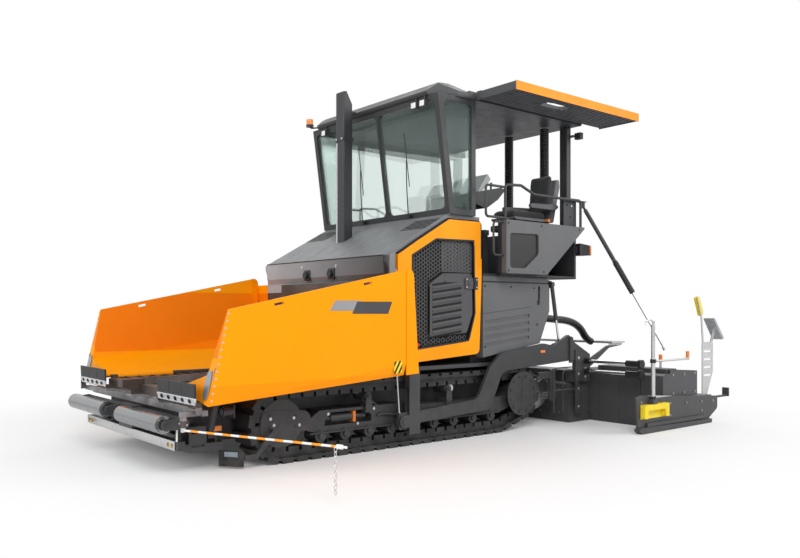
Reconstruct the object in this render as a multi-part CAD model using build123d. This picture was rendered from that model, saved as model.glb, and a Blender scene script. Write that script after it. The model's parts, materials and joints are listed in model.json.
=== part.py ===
from build123d import *
import math
import os

# Tracked asphalt paver. Millimetres, +X forward over the hopper, +Y the machine's left, +Z up.
# The origin lies on the ground on the machine's centreline.

# Clearances and sheet
play = 1.0                # running play between a piece and the one it turns in
gap = 0.3                 # seat gap between pieces that only touch
clear = 6.0               # room between pieces that pass each other
plate = 12.0              # hopper and bracket plate

# Tracks
machine_half = 1200.0     # outer face of the tracks, doors and side covers
track_width = 300.0
track_height = 720.0
idler_x = 2120.0
idler_radius = 360.0
sprocket_x = -1081.0
sprocket_radius = 300.0
last_roller_x = -700.0
last_roller_radius = 175.0
shoe_count = 54
link_height = 92.0        # chain links inside the shoes
shoe_thick = 20.0
pad_height = 26.0         # pad and grouser of a shoe
carrier_x = (1129.0, 40.0)
roller_count = 9

# Frame under the body
rail_width = 120.0
rail_low = 220.0
rail_high = 640.0
rail_front = 2950.0
rail_rear = -1400.0
deck_low = 760.0          # sub-frame that carries the body above the tracks
deck_high = 800.0

# Body covers
door_thick = 40.0
bay_front = 900.0         # engine bay
bay_rear = -430.0
nose_top = 1940.0
cowl_x = 60.0
cowl_top = 2425.0

# Hopper
hopper_front = 2960.0
hopper_rear = 950.0
floor_low = 640.0
floor_thick = 50.0
wing_barrel = 20.0
wing_pin = 11.0
wing_spread = 330.0       # outer panel beyond the tracks

# Hydraulic cylinders
ram_x = 2750.0            # wing cylinder, across the machine
ram_barrel = 385.0
ram_radius = 32.0
ram_rod = 16.0
lift_high = (-1640.0, 1700.0)    # screed lift cylinder's pins, in X and Z
lift_low = (-1800.0, 860.0)
lift_barrel = 440.0
lift_radius = 24.0
lift_rod = 14.0
eye_pin = 14.0
eye_room = 18.0           # a rod's open eye drifts this far round its pin

# Operator's deck
deck_spread = 200.0       # deck beyond the side covers
platform_low = 1770.0
platform_thick = 30.0
platform_rear = -2022.0
panel_top = 2397.0
seat_x = -1400.0          # the seats turn about these
seat_y = 980.0
turntable = 110.0
rail_tube = 16.0

# Canopy
roof_low = 3700.0
roof_thick = 90.0
roof_front = 275.0
roof_rear = -2190.0
canopy_reach = 566.0      # side wing beyond its hinge
canopy_front = -320.0
canopy_rear = -2540.0
rib_count = 11

# Screed
tow_x = 760.0             # tow point, where the screed arms pivot
tow_z = 265.0
arm_thick = 40.0
arm_pin = 32.0
screed_front = -1950.0
screed_rear = -2345.0
extension_rear = -2960.0
extension_reach = 1040.0  # extension beyond the main screed
extension_lap = 215.0     # extension behind the main screed
end_plate_thick = 25.0
mast_x = -2050.0
stay_high = (-2090.0, 1296.0, 2690.0)    # telescopic stay from the deck to the screed
stay_foot = (-2800.0, 2000.0, 905.0)
stay_tube = 1250.0

# Material flow
auger_x = -1690.0
auger_z = 345.0
auger_radius = 190.0
roller_x = 3224.0
roller_z = 445.0
roller_radius = 75.0
push_pivot = 2996.0

# Places that follow from the sizes above
shoe = link_height + shoe_thick + pad_height
track_in = machine_half - track_width
track_mid = machine_half - track_width / 2
rail_out = track_in - 40
rail_in = rail_out - rail_width
drive_z = track_height - sprocket_radius
floor_high = floor_low + floor_thick
floor_half = rail_out - 70
wing_hinge_y = floor_half + 42
wing_hinge_z = floor_high + 14
wing_out = machine_half + wing_spread
wing_rear = hopper_rear + 8
lug_rear = (hopper_rear - 35, hopper_rear + 63)    # hinge lugs of the wings, in X
lug_front = (hopper_front - 55, hopper_front)
ram_low = (rail_out + 140, 300.0)
ram_high = (wing_hinge_y + 348, wing_hinge_z + 31)
door_hinge = (802.0, machine_half - 15)
door_knuckles = ((1000.0, 1110.0), (1700.0, 1790.0))
deck_floor = platform_low + platform_thick
deck_half = machine_half + deck_spread
roof_half = machine_half + 10
roof_top = roof_low + roof_thick
side_window = [(-665, 2250, 30), (-665, 1862, 40), (-915, 1862, 60), (-1150, 2033, 60), (-1150, 2262, 40)]
canopy_hinge = (roof_half + 14, roof_top + 15)
canopy_out = canopy_hinge[0] + canopy_reach
canopy_knuckle = (-2100.0, -400.0)
arm_in = machine_half + 20
arm_out = arm_in + arm_thick
lift_y = machine_half - 15
screed_half = machine_half
extension_in = screed_half - extension_lap
extension_out = screed_half + extension_reach
extension_front = screed_rear - 20
end_plate_y = extension_out + 15
end_plate_out = end_plate_y + end_plate_thick

LEFT = 1
RIGHT = -1


def block(x0, x1, y0, y1, z0, z1):
    return Pos((x0 + x1) / 2, (y0 + y1) / 2, (z0 + z1) / 2) * Box(abs(x1 - x0), abs(y1 - y0), abs(z1 - z0))


def side_profile(points, y0, y1):
    """A plate with its outline in X and Z, from y0 to y1."""
    face = make_face(Polyline([(x, 0, z) for x, z in points], close=True))
    return Pos(0, min(y0, y1), 0) * extrude(face, amount=abs(y1 - y0), dir=(0, 1, 0))


def rounded_profile(corners, y0, y1):
    """A plate from y0 to y1 whose outline has corners of X, Z and radius."""
    line = FilletPolyline(*[(x, 0, z) for x, z, r in corners], radius=[r for x, z, r in corners],
                          close=True)
    return Pos(0, min(y0, y1), 0) * extrude(make_face(line), amount=abs(y1 - y0), dir=(0, 1, 0))


def belted_plate(circles, y0, y1):
    """A plate from y0 to y1 drawn round circles of X, Z and radius, like a belt."""
    rings = [Pos(x, z) * Circle(r) for x, z, r in circles]
    outline = make_hull([e for ring in rings for e in ring.edges()])
    return Pos(0, max(y0, y1), 0) * (Rot(90, 0, 0) * extrude(outline, amount=abs(y1 - y0)))


def cross_profile(points, x0, x1):
    """A bar with its outline in Y and Z, from x0 to x1."""
    face = make_face(Polyline([(0, y, z) for y, z in points], close=True))
    return Pos(min(x0, x1), 0, 0) * extrude(face, amount=abs(x1 - x0), dir=(1, 0, 0))


def plan_profile(points, z0, z1):
    """A plate with its outline in X and Y, from z0 to z1."""
    face = make_face(Polyline([(x, y, 0) for x, y in points], close=True))
    return Pos(0, 0, min(z0, z1)) * extrude(face, amount=abs(z1 - z0), dir=(0, 0, 1))


def bar(p, q, radius):
    """A round bar from p to q."""
    p, q = Vector(*p), Vector(*q)
    return Plane(origin=p, z_dir=q - p) * extrude(Circle(radius), amount=(q - p).length)


def across(x, z, y0, y1, radius):
    """A round bar along Y."""
    return bar((x, y0, z), (x, y1, z), radius)


def upright(x, y, z0, z1, radius):
    return bar((x, y, z0), (x, y, z1), radius)


def bent_tube(points, bend, radius):
    """A tube along straight runs with a tangent bend at each corner."""
    path = FilletPolyline(*points, radius=bend)
    start = path @ 0
    return sweep(Plane(origin=start, z_dir=path % 0) * Circle(radius), path)


def mirrored(shape):
    return mirror(shape, about=Plane.XZ)


def on_side(shape, side):
    return shape if side == LEFT else mirrored(shape)


def both_sides(shapes):
    return [on_side(shape, side) for shape in shapes for side in (LEFT, RIGHT)]


def fused(shapes):
    shapes = list(shapes)
    return shapes[0].fuse(*shapes[1:]) if len(shapes) > 1 else shapes[0]


def track_line(grow):
    """The chain's side outline, at a distance outside the links' running face."""
    wheels = (
        (idler_x, idler_radius, idler_radius),
        (last_roller_x, last_roller_radius, last_roller_radius),
        (sprocket_x, drive_z, sprocket_radius),
    )
    circles = [Pos(x, z) * Circle(r - shoe + grow) for x, z, r in wheels]
    return make_hull([e for c in circles for e in c.edges()])


def along_chain(grow, shift, length, depth):
    """One upright rectangle for each shoe, centred on the line at that distance."""
    wire = track_line(grow).wire()
    pitch = wire.length / shoe_count
    for i in range(shoe_count):
        at = (i + shift) / shoe_count
        tangent = wire % at
        turn = math.degrees(math.atan2(tangent.Y, tangent.X))
        place = wire.position_at(at)
        yield Pos(place.X, place.Y) * Rot(0, 0, turn) * Rectangle(pitch * length, depth)


def track():
    """One track: a closed chain of paired links under shoes with raised pads."""
    shoes = track_line(link_height + shoe_thick) - track_line(link_height - 2)
    for pad in along_chain(link_height + shoe_thick, 0, 0.72, 2 * pad_height):
        shoes += pad
    links = track_line(link_height) - track_line(0)
    for notch in along_chain(0, 0.5, 0.22, link_height * 0.9):
        links -= notch
    chain = Pos(0, machine_half, 0) * (Rot(90, 0, 0) * extrude(shoes, amount=track_width))
    for y in (track_mid - 55, track_mid + 95):
        chain += Pos(0, y, 0) * (Rot(90, 0, 0) * extrude(links, amount=40))
    return chain


def track_frame():
    """Roller frame, idler, rollers, tensioner and final drive inside the left loop."""
    wheel = idler_radius - shoe - play
    drive = sprocket_radius - shoe - play
    face = machine_half - 60
    roller = 60.0
    carrier = 45.0
    body = side_profile([(-760, 225), (1700, 225), (1835, 260), (1835, 350), (1700, 440), (700, 440),
                         (600, 400), (-760, 400),
                         (-900, 430), (-1000, 470), (-1000, 340), (-900, 260)], track_in + 20, face)
    pocket = side_profile([(1640, 290), (1640, 330), (1560, 412), (1150, 412), (1080, 350), (1080, 290)],
                          face - 90, face + 1)
    parts = [
        body - pocket,
        across(sprocket_x, drive_z, rail_out, machine_half + clear, drive - 8),
        across(sprocket_x, drive_z, machine_half + clear, machine_half + clear + 10, 254),
        block(sprocket_x - 16, sprocket_x + 16, machine_half + clear + 8, machine_half + clear + 13,
              drive_z - 200, drive_z + 200),
        block(-1000, sprocket_x, track_mid - 40, face - 20, 350, 460),
        block(1700, idler_x, track_mid - 90, track_mid + 90, 300, 380),
        across(idler_x, idler_radius, track_mid - 100, track_mid + 100, wheel),
        across(idler_x, idler_radius, track_in + 20, face + 2, 70),
        belted_plate([(2235, 385, 100), (1900, 365, 98)], face, face + 14),
        block(1820, 1900, track_mid + 60, face + 14, 270, 350),
        across(1560, 352, face - 80, face - 30, 20),
        bar((1300, face - 45, 352), (1560, face - 45, 352), 42),
        bar((1140, face - 45, 352), (1600, face - 45, 352), 26),
        block(1270, 1300, face - 90, face - 5, 300, 405),
        block(-740, 1820, face, machine_half - 30, 225, 237),
    ]
    for x in (-300, 1100):
        parts.append(block(x, x + 300, rail_out, track_in + 20, 260, 380))
    first, last = -620.0, 1690.0
    for i in range(roller_count):
        x = first + (last - first) * i / (roller_count - 1)
        parts.append(across(x, shoe + roller + play, track_mid - 100, track_mid + 100, roller))
        parts.append(across(x, shoe + roller + play, track_mid - 130, track_mid + 118, 28))
        parts.append(block(x - 26, x + 26, track_mid - 60, track_mid + 60, shoe + roller, 230))
    for x in carrier_x:
        top = track_height - shoe - carrier - play
        parts.append(across(x, top, track_mid - 100, track_mid + 100, carrier))
        parts.append(belted_plate([(x, top, 30), (x, 440, 42)], track_mid + 102, track_mid + 116))
        parts.append(across(x, top, track_mid + 90, track_mid + 124, 16))
        parts.append(block(x - 40, x + 40, track_mid - 60, track_mid + 112, 380, 445))
    arm = side_profile([(2200, 300), (2225, 268), (2400, 80), (2520, 80), (2520, 125), (2420, 125),
                        (2240, 320)],
                       machine_half + clear, machine_half + clear + 10)
    parts += [arm, across(2222, 296, face, machine_half + clear + 14, 18)]
    parts += [across(x, z, face + 10, face + 22, 13)
              for x, z in ((2235, 330), (2235, 440), (1960, 320), (1960, 410))]
    return fused(parts)


def mudflap():
    """The left rubber deflector before the track, on its strip."""
    front, rear = (2660, machine_half - 200), (2524, machine_half + clear - 8)
    dx, dy = 7, 4
    flap = plan_profile([front, rear, (rear[0] + dx, rear[1] + dy), (front[0] + dx, front[1] + dy)], 20,
                        160)
    foot = block(2524 - 12, 2524 + dx, machine_half + clear - 8, machine_half + clear - gap, 85, 120)
    return flap + foot


def chassis():
    """Side rails, cross beams, conveyor tunnel and the sub-frame above the tracks."""
    sides = [
        block(rail_rear, rail_front, rail_in, rail_out, rail_low, rail_high),
        block(-1380, 880, rail_in, rail_out, rail_high, deck_low),
        tow_guide(),
        ram_foot(),
        block(2590, 2602, rail_out, machine_half - 40, 450, 560),
        bar((2600, machine_half - 70, 510), (2680, machine_half - 70, 510), 34),
        bar((2680, machine_half - 70, 510), (2700, machine_half - 70, 510), 42),
    ]
    parts = both_sides(sides)
    beams = ((2600, 2950, 320, 560), (1400, 1600, 240, 420), (100, 300, 240, 420), (-1300, -1100, 240, 420))
    for x0, x1, z0, z1 in beams:
        parts.append(block(x0, x1, -rail_in, rail_in, z0, z1))
    parts.append(block(rail_rear, 2600, -rail_in, rail_in, 420, 440))
    parts.append(block(-1380, 880, 50 - machine_half, machine_half - 50, deck_low, deck_high))
    for z in (335, 435):
        parts.append(block(2950, 3022, -70, 70, z, z + 30))
    parts.append(upright(push_pivot, 0, 335, 465, 20))
    return fused(parts)


def ram_foot():
    """Outrigger box at the left rail's front, with the wing cylinder's ears and pin."""
    y, z = ram_low
    base, wall = 240.0, 14.0
    skin = block(2640, 2960, y + 30, y + 30 + wall, 170, 390)
    for slot_z in (215, 330):
        skin -= block(2820, 2940, y + 20, y + 60, slot_z, slot_z + 22)
    skin -= block(2640 - 1, 2806, y + 20, y + 60, base, 400)
    parts = [block(2640, 2960, rail_out, y + 30, 170, base), skin,
             block(2830, 2842, rail_out, y + 32, base - 1, 390)]
    for x in (ram_x - 54, ram_x + 39):
        parts.append(block(x, x + 15, y - 25, y + 25, base, z + 25))
    parts.append(bar((ram_x - 50, y, z), (ram_x + 50, y, z), eye_pin))
    return fused(parts)


def tow_guide():
    """The left guide post of the screed arm, with the tow point before it."""
    inner = machine_half + 5
    x0, x1 = 560, 700
    head = block(x0, x1, inner, arm_out + 20, 600, deck_high - 30)
    foot = block(x0, x1, inner, arm_out + 20, 130, 165)
    plates = [block(x0, x1, y, y + 9, 130, deck_high - 30) for y in (inner, arm_out + 11)]
    shoulder = block(x0, x1, machine_half - 55, inner + 9, deck_low, deck_high - 1)
    cheek_in = belted_plate([(tow_x, tow_z, 62), (x1 - 30, tow_z, 62)], inner, inner + 9)
    cheek_out = belted_plate([(tow_x, tow_z, 62), (x1 - 30, tow_z, 62)], arm_out + 11, arm_out + 20)
    pin = across(tow_x, tow_z, inner, arm_out + 28, arm_pin)
    return fused([head, foot, shoulder, cheek_in, cheek_out, pin] + plates)


def hood():
    """Sloping top, nose and bulkhead over the engine bay."""
    half = machine_half - door_thick - 8
    nose_x = bay_front + 40
    fall = (cowl_top - nose_top) / (nose_x - cowl_x)
    top = side_profile([
        (bay_front, deck_high), (bay_front, 1700), (nose_x - 5, 1760), (nose_x, nose_top),
        (cowl_x, cowl_top), (bay_rear, cowl_top), (bay_rear, cowl_top - 40),
        (cowl_x - 10, cowl_top - 40), (bay_front, nose_top - 40), (bay_front - 5, 1770),
        (bay_front - 40, 1710), (bay_front - 40, deck_high)], -half, half)
    for i in range(7):
        x = cowl_x + 60 + 34 * i
        z = cowl_top - (x - cowl_x) * fall
        groove = side_profile([(x, z + 12), (x, z - 14), (x + 18, z - 22), (x + 18, z + 12)], half - 470,
                              half - 40)
        top -= groove
        top -= mirrored(groove)
    for y in (-330, 330):
        top -= side_profile([(cowl_x + 20, cowl_top + 10), (cowl_x + 20, cowl_top - fall * 20 - 6),
                             (nose_x - 20, nose_top + fall * 20 - 6), (nose_x - 20, nose_top + 30)], y - 3,
                            y + 3)
    x, y = door_hinge
    sides = [
        block(820, bay_front, half - 60, machine_half, deck_high, 1800),
        side_profile([(820, 1790), (bay_front, 1790), (930, 1880), (930, 1930), (820, 1985)], half - 60,
                     machine_half),
    ]
    for z0, z1 in door_knuckles:
        sides.append(upright(x, y, z0 - 20, z1 + 20, 6))
        for z in (z0 - 20, z1 + gap):
            sides.append(block(x - 8, 825, y - 8, y + 8, z, z + 20 - gap))
    return fused([top] + both_sides(sides))


def cheek():
    """The fixed plate behind the left hopper wing, with its web to the body."""
    skin = rounded_profile([(792, 771, 0), (950, 760, 0), (950, 1782, 0), (862, 1800, 60)],
                           wing_out - plate, wing_out)
    web = block(840, 870, machine_half, wing_out - plate, 900, 1700)
    return skin + web


def wing():
    """The left hopper wing: outer panel, sloping inner panel, and ribs at both ends."""
    front = hopper_front + 60
    bend_y = wing_out - 130
    lip = wing_hinge_z + 6
    foot_y = wing_hinge_y + 58
    rise = -0.2034                      # the top edge falls to the front

    def levels(x):
        back = (front + 80 - x) / (front + 80 - 797)
        top = 1359.6 + (x - front) * rise
        low = 617 + (front - x) * 0.0691
        bend = 853 + (front - x) * 0.1177
        return top, low, low + 117 * back, bend, 38 * back

    def section(x, outline):
        return make_face(Polyline([(x, y, z) for y, z in outline], close=True))

    def outline(x):
        top, low, fold, bend, tuck = levels(x)
        under = lip + (bend - lip) * (foot_y - wing_hinge_y) / (bend_y - wing_hinge_y) - plate
        return [(wing_out, top), (wing_out, fold), (wing_out - tuck, low), (wing_out - tuck - plate, low),
                (foot_y, under), (wing_hinge_y, wing_hinge_z - 8), (wing_hinge_y, lip), (bend_y, bend),
                (wing_out - 24, top)]

    def hollow(x):
        top, low, fold, bend, tuck = levels(x)
        skin = wing_out - plate
        under = lip + (bend - lip) * (foot_y + 2 - wing_hinge_y) / (bend_y - wing_hinge_y) - plate
        return [(skin, top - 60), (skin, fold), (skin - tuck, low - 5), (skin - tuck, low - 60),
                (foot_y + 2, wing_hinge_z - 60), (foot_y + 2, under - 0.2), (bend_y + 4, bend - plate)]

    ends = (wing_rear, front + 40)
    skin = loft([section(x, outline(x)) for x in ends], ruled=True)
    void = loft([section(x, hollow(x)) for x in ends], ruled=True)
    low_y, high_y = wing_hinge_y - 130, wing_out + 170
    side = side_profile([(wing_rear, 500), (front + 28, 500), (front, 617), (front - 184, 1397),
                         (front - 184, 1900), (wing_rear, 1900)], low_y, high_y)
    core = side_profile([(wing_rear + plate, 500), (front + 10, 500), (front - 17, 617),
                         (front - 205, 1420),
                         (front - 205, 1900), (wing_rear + plate, 1900)], low_y, high_y)
    shell = (skin & side) - (void & core)
    shell -= block(lug_rear[0] - 5, lug_rear[1] + 5, low_y, wing_hinge_y + 40, 500, 760)
    shell -= block(lug_front[0] - 5, front + 40, low_y, wing_hinge_y + 40, 500, 760)
    for x in (front - 653, front - 1600):
        z = levels(x)[0] - 48
        shell -= Pos(x, wing_out, z) * Rot(0, math.degrees(-math.atan(rise)), 0) * Box(96, 160, 24)
    y, z = ram_high
    for x in (ram_x - 34, ram_x + 24):
        ear = [(y - 25, z - 25), (y + 25, z - 25), (y + 70, z + 97), (y - 70, z + 54)]
        shell += cross_profile(ear, x, x + 10)
    shell += bar((ram_x - 30, y, z), (ram_x + 30, y, z), eye_pin)
    start = (lug_rear[1] + 5, wing_hinge_y, wing_hinge_z)
    end = (lug_front[0] - 5, wing_hinge_y, wing_hinge_z)
    barrel = bar(start, end, wing_barrel)
    bore = bar((hopper_rear - 50, wing_hinge_y, wing_hinge_z), (front, wing_hinge_y, wing_hinge_z),
               wing_pin + play / 2)
    return (shell + barrel) - bore


def hopper_floor():
    """Floor over the conveyors, rear wall, front sill, centre ridge and wing hinge lugs."""
    sill = hopper_front + 70
    pivot = (hopper_front + 198, machine_half + 163)
    parts = [
        block(hopper_rear, hopper_front, -floor_half, floor_half, floor_low, floor_high),
        block(hopper_rear - 50, hopper_rear, -floor_half, floor_half, floor_low, 1690),
        block(hopper_front, sill, 20 - machine_half, machine_half - 20, 520, 585),
        block(sill, pivot[0] + 27, pivot[1] - 20, pivot[1] + 20, 530, 570),
        block(pivot[0] - 20, pivot[0] + 20, pivot[1] - 20, pivot[1] + 20, 445, 530),
        upright(pivot[0], pivot[1], 405, 450, 7),
        block(hopper_front, hopper_front + 40, -floor_half, floor_half, 585, floor_high),
        cross_profile([(-70, floor_high), (70, floor_high), (24, floor_high + 60), (-24, floor_high + 60)],
                      hopper_rear, hopper_front),
        block(hopper_front, sill + 60, -60, 60, 585, 640),
        side_profile([(hopper_front, 640), (sill + 60, 640), (sill + 140, 670), (sill + 140, 742),
                      (hopper_front, 742)],
                     -62, 62),
    ]
    pin_end = hopper_front - 10
    for side in (LEFT, RIGHT):
        parts.append(on_side(block(sill - 30, sill + 48, 645, 659, 575, 642), side))
        parts.append(on_side(block(sill - 4, sill + 48, 1412 + gap, 1426 + gap, 540, 642), side))
        parts.append(on_side(block(sill - 55, sill, machine_half - 20, machine_half + 230, 530, 575), side))
        for x0, x1 in (lug_rear, lug_front):
            lug = block(x0, x1, floor_half - 5, wing_hinge_y + 20, floor_low, wing_hinge_z + 20)
            parts.append(on_side(lug, side))
        pin = bar((hopper_rear, wing_hinge_y, wing_hinge_z), (pin_end, wing_hinge_y, wing_hinge_z),
                  wing_pin)
        parts.append(on_side(pin, side))
    return fused(parts)


def slats():
    """Conveyor chains and slat bars of both conveyors."""
    bars = []
    inner, outer = 130, floor_half - 60
    for side in (LEFT, RIGHT):
        for y in (inner, outer - 30):
            chain = block(hopper_rear + 20, hopper_front - 60, y, y + 30, floor_high, floor_high + 12)
            bars.append(on_side(chain, side))
        for i in range(14):
            x = hopper_rear + 60 + i * 140
            bars.append(on_side(block(x, x + 30, inner, outer, floor_high, floor_high + 18), side))
    return fused(bars)


def apron():
    """The left front flap: three rubber leaves on a steel strip with its hinge tube."""
    y0, y1, cut = 660, 1411, 5
    strip = side_profile([(3062, 622), (3074, 626), (3088, 668), (3080, 672)], y0, y1)
    tube = across(3060, 625, y0 - 1 + gap, y1 + 1, 16)
    parts = [strip, tube]
    width = (y1 - y0) / 3
    for i in range(3):
        leaf = rounded_profile([(3066, 640, 0), (3079, 636, 0), (3088, 792, 7), (3070, 792, 7)],
                               y0 + i * width + cut / 2, y0 + (i + 1) * width - cut / 2)
        parts.append(leaf)
    return fused(parts)


def door():
    """The left engine door: surround, trimmed opening, mesh and louvred panel."""
    face = machine_half
    rim = [(785, 835, 25), (785, 1972, 40), (519, 2129, 120), (80, 2376, 70), (-418, 2381, 60),
           (-418, 1788, 30), (-382, 909, 60)]
    hole = [(600, 975, 50), (600, 1960, 50), (262, 2146, 90), (-301, 2158, 70), (-319, 1355, 60),
            (-221, 1053, 60)]
    panel = [(155, 1784, 40), (344, 1669, 60), (344, 1104, 40), (-195, 1142, 40), (-285, 1350, 60),
             (-275, 1790, 40)]

    def widened(corners, grow):
        line = FilletPolyline(*[(x, z) for x, z, r in corners], radius=[r for x, z, r in corners],
                              close=True)
        return offset(make_face(line), grow)

    def layer(sketch, y0, y1):
        return Pos(0, y1, 0) * (Rot(90, 0, 0) * extrude(sketch, amount=y1 - y0))

    surround = rounded_profile(rim, face - door_thick, face)
    surround -= rounded_profile(hole, face - door_thick - 1, face + 1)
    trim = layer(widened(hole, 2) - widened(hole, -16), face - 30, face + 4)
    mesh = layer(widened(hole, 6), face - 36, face - 28)
    raised = rounded_profile(panel, face - 29, face - 10)
    rows, first, pitch, length = 7, 1636.0, 78.5, 428.0
    tilt = 7.2
    louvres = []
    for i in range(rows):
        blade = cross_profile([(-12, 0), (10, 2), (10, 9), (-12, 46)], -length / 2, length / 2)
        louvres.append(Pos(97, face - 10, first - pitch * i) * Rot(0, tilt, 0) * blade)
    latch = rounded_profile([(-165, 1622, 18), (-165, 1742, 18), (-352, 1742, 18), (-352, 1622, 18)],
                            face - 30, face + 6)
    grip = block(-310, -210, face + 5, face + 13, 1660, 1704)
    stop = belted_plate([(520, 1010, 42), (520, 1075, 30)], face - 29, face - 12)
    stop += across(520, 1030, face - 13, face + 2, 19)
    x, y = door_hinge
    knuckles = []
    for z0, z1 in door_knuckles:
        tube = upright(x, y, z0, z1, 11) + block(780, x, y - 6, y + 6, z0, z1)
        knuckles.append(tube - upright(x, y, z0 - 5, z1 + 5, 6 + play / 2))
    return fused([surround, trim, mesh, raised, latch, grip, stop] + louvres + knuckles)


def side_body():
    """Closed service housing behind the engine bay, over the rear of the tracks."""
    front = bay_rear - 10
    outline = [(front, deck_high), (front, platform_low), (-1525, platform_low - 2), (-1589, 1628),
               (-1589, 1379), (-1410, 996), (-1380, deck_high)]
    body = side_profile(outline, -machine_half, machine_half)
    low = side_profile([(front, 863), (front, 700), (-1500, 700), (-1500, 996), (-1410, 996)],
                       machine_half - 200, machine_half + 10)
    cuts = [low]
    rows, first, pitch, slant = 4, 1271.0, 85.0, 74.0
    for i in range(rows):
        z = first - pitch * i
        cuts.append(side_profile([(-470, z), (-1214, z + slant), (-1214, z + slant - 36), (-470, z - 36)],
                                 machine_half - 12, machine_half + 10))
    cuts.append(rounded_profile([(-1371, 1461, 17), (-1371, 1673, 17), (-1407, 1673, 17),
                                 (-1407, 1461, 17)],
                                machine_half - 14, machine_half + 10))
    cuts.append(side_profile([(front, 1716), (front, 1710), (-1550, 1703), (-1550, 1709)], machine_half - 5,
                             machine_half + 1))
    cuts.append(side_profile([(front, 1352), (-1240, 1430), (-1589, 1640), (-1589, 1379), (-1410, 996),
                              (-1240, 1080),
                              (-1240, 1424), (front, 1346)], machine_half - 8, machine_half + 1))
    for cut in cuts:
        body = body - cut - mirrored(cut)
    x, z = lift_high
    ear = side_profile([(x - 40, z - 40), (x - 40, z + 40), (x + 90, z + 60), (x + 130, z - 60)],
                       lift_y - 45, lift_y - 30)
    pin = across(x, z, lift_y - 40, lift_y + 26, eye_pin)
    foot = block(x + 55, x + 110, lift_y - 250, lift_y - 30, z - 40, z + 30)
    return fused([body] + both_sides([ear, pin, foot]))


def side_box():
    """The left box beside the deck, with its window recess and rear brackets."""
    z = platform_low + 30
    inner = machine_half + 70
    body = rounded_profile([(-605, panel_top, 25), (platform_rear, panel_top, 12), (-1295, z, 60),
                            (-605, z, 25)],
                           inner, deck_half)
    body -= rounded_profile(side_window, deck_half - 25, deck_half + 1)
    ear = rounded_profile([(-1716, panel_top - 20, 0), (-1716, 2690, 50), (-1790, 2750, 20),
                           (-1956, 2750, 30), (-1956, panel_top - 20, 0)], inner + 24, inner + 36)
    for x, hole_z in ((-1780, 2660), (-1880, 2660), (-1840, 2520)):
        ear -= across(x, hole_z, inner + 20, inner + 40, 16)
    cabinet = rounded_profile([(-2000, 2060, 8), (-2000, 2210, 8), (-2225, 2190, 8), (-2225, 2070, 8)],
                              inner - 90, inner + 60)
    bracket = block(-2010, platform_rear + 40, inner - 60, inner + 18, 2090, 2180)
    return fused([body, ear, cabinet, bracket])


def platform():
    """Operator's deck with its side boxes, rear wall and the console's cross rail."""
    z = platform_low
    parts = [
        block(platform_rear + 60, bay_rear - 10, -machine_half, machine_half, z, deck_floor),
        block(platform_rear + 30, platform_rear + 60, -machine_half - 75, machine_half + 75, z, panel_top),
        block(-640, -560, -1100, 1100, 2240, 2300),
    ]
    shelf = block(platform_rear + 60, -640, machine_half - 2, machine_half + 75, deck_floor - 20,
                  deck_floor)
    parts += both_sides([shelf, side_box(), block(-640, -560, 1000, 1080, deck_floor, 2240)])
    return fused(parts + stay_bracket())


def stay_line():
    """Upper end, direction and length of the stay, and the level direction of its pin."""
    top, foot = Vector(*stay_high), Vector(*stay_foot)
    along = (foot - top).normalized()
    return top, along, (foot - top).length, along.cross(Vector(0, 0, 1)).normalized()


def stay_bracket():
    """Ears and pin of the stay beside the deck's left rear bracket."""
    top, _, _, level = stay_line()
    turn = math.degrees(math.atan2(level.Y, level.X))
    parts = [bar(top - level * 34, top + level * 34, 9)]
    for reach in (26, -26):
        parts.append(Pos(*(top + level * reach)) * Rot(0, 0, turn) * Box(8, 56, 76))
    parts.append(block(top.X - 45, -1930, top.Y - 45, top.Y + 30, top.Z + 32, top.Z + 44))
    return parts


def seat_base():
    """Pedestal and suspension box of the left seat."""
    column = rounded_profile([(-1600, deck_floor, 0), (-1150, deck_floor, 0), (-1200, 2330, 30),
                              (-1560, 2330, 30)],
                             seat_y - 190, seat_y + 190)
    bellows = rounded_profile([(-1640, 2325, 20), (-1010, 2325, 20), (-1010, 2400, 20), (-1640, 2400, 20)],
                              seat_y - 210, seat_y + 210)
    return fused([column, bellows, upright(seat_x, seat_y, 2395, 2440, turntable)])


def seat():
    """The left turning seat: pan, back shell and armrests."""
    pan = rounded_profile([(-1640, 2450, 15), (-1000, 2450, 25), (-1000, 2480, 5), (-1640, 2480, 5)],
                          seat_y - 190, seat_y + 190)
    disc = upright(seat_x, seat_y, 2440.5, 2455, turntable)
    back = rounded_profile([(-1620, 2450, 0), (-1700, 2450, 30), (-1820, 2900, 60), (-1810, 2985, 20),
                            (-1760, 2985, 10), (-1655, 2520, 0), (-1620, 2480, 0)], seat_y - 180,
                           seat_y + 180)
    parts = [pan, disc, back]
    for y0 in (seat_y - 232, seat_y + 192):
        rest = rounded_profile([(-1660, 2600, 20), (-1235, 2600, 20), (-1235, 2648, 20), (-1700, 2668, 20),
                                (-1760, 2640, 20)], y0, y0 + 40)
        parts.append(rest)
        parts.append(block(-1720, -1690, min(y0 + 20, seat_y), max(y0 + 20, seat_y), 2610, 2640))
    return fused(parts)


def seat_cushion():
    """Base and back cushions of the left seat."""
    half = seat_y - 180, seat_y + 180
    base = rounded_profile([(-1598, 2480 + gap, 0), (-970, 2480 + gap, 20), (-970, 2560, 30),
                            (-1598, 2560, 0)], *half)
    back = rounded_profile([(-1600, 2480 + gap, 0), (-1620 + gap, 2480 + gap, 0), (-1655 + gap, 2520, 0),
                            (-1740, 2960, 0),
                            (-1712, 3060, 30), (-1660, 3050, 30), (-1640, 2960, 60)], seat_y - 170,
                           seat_y + 170)
    return [base, back]


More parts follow.
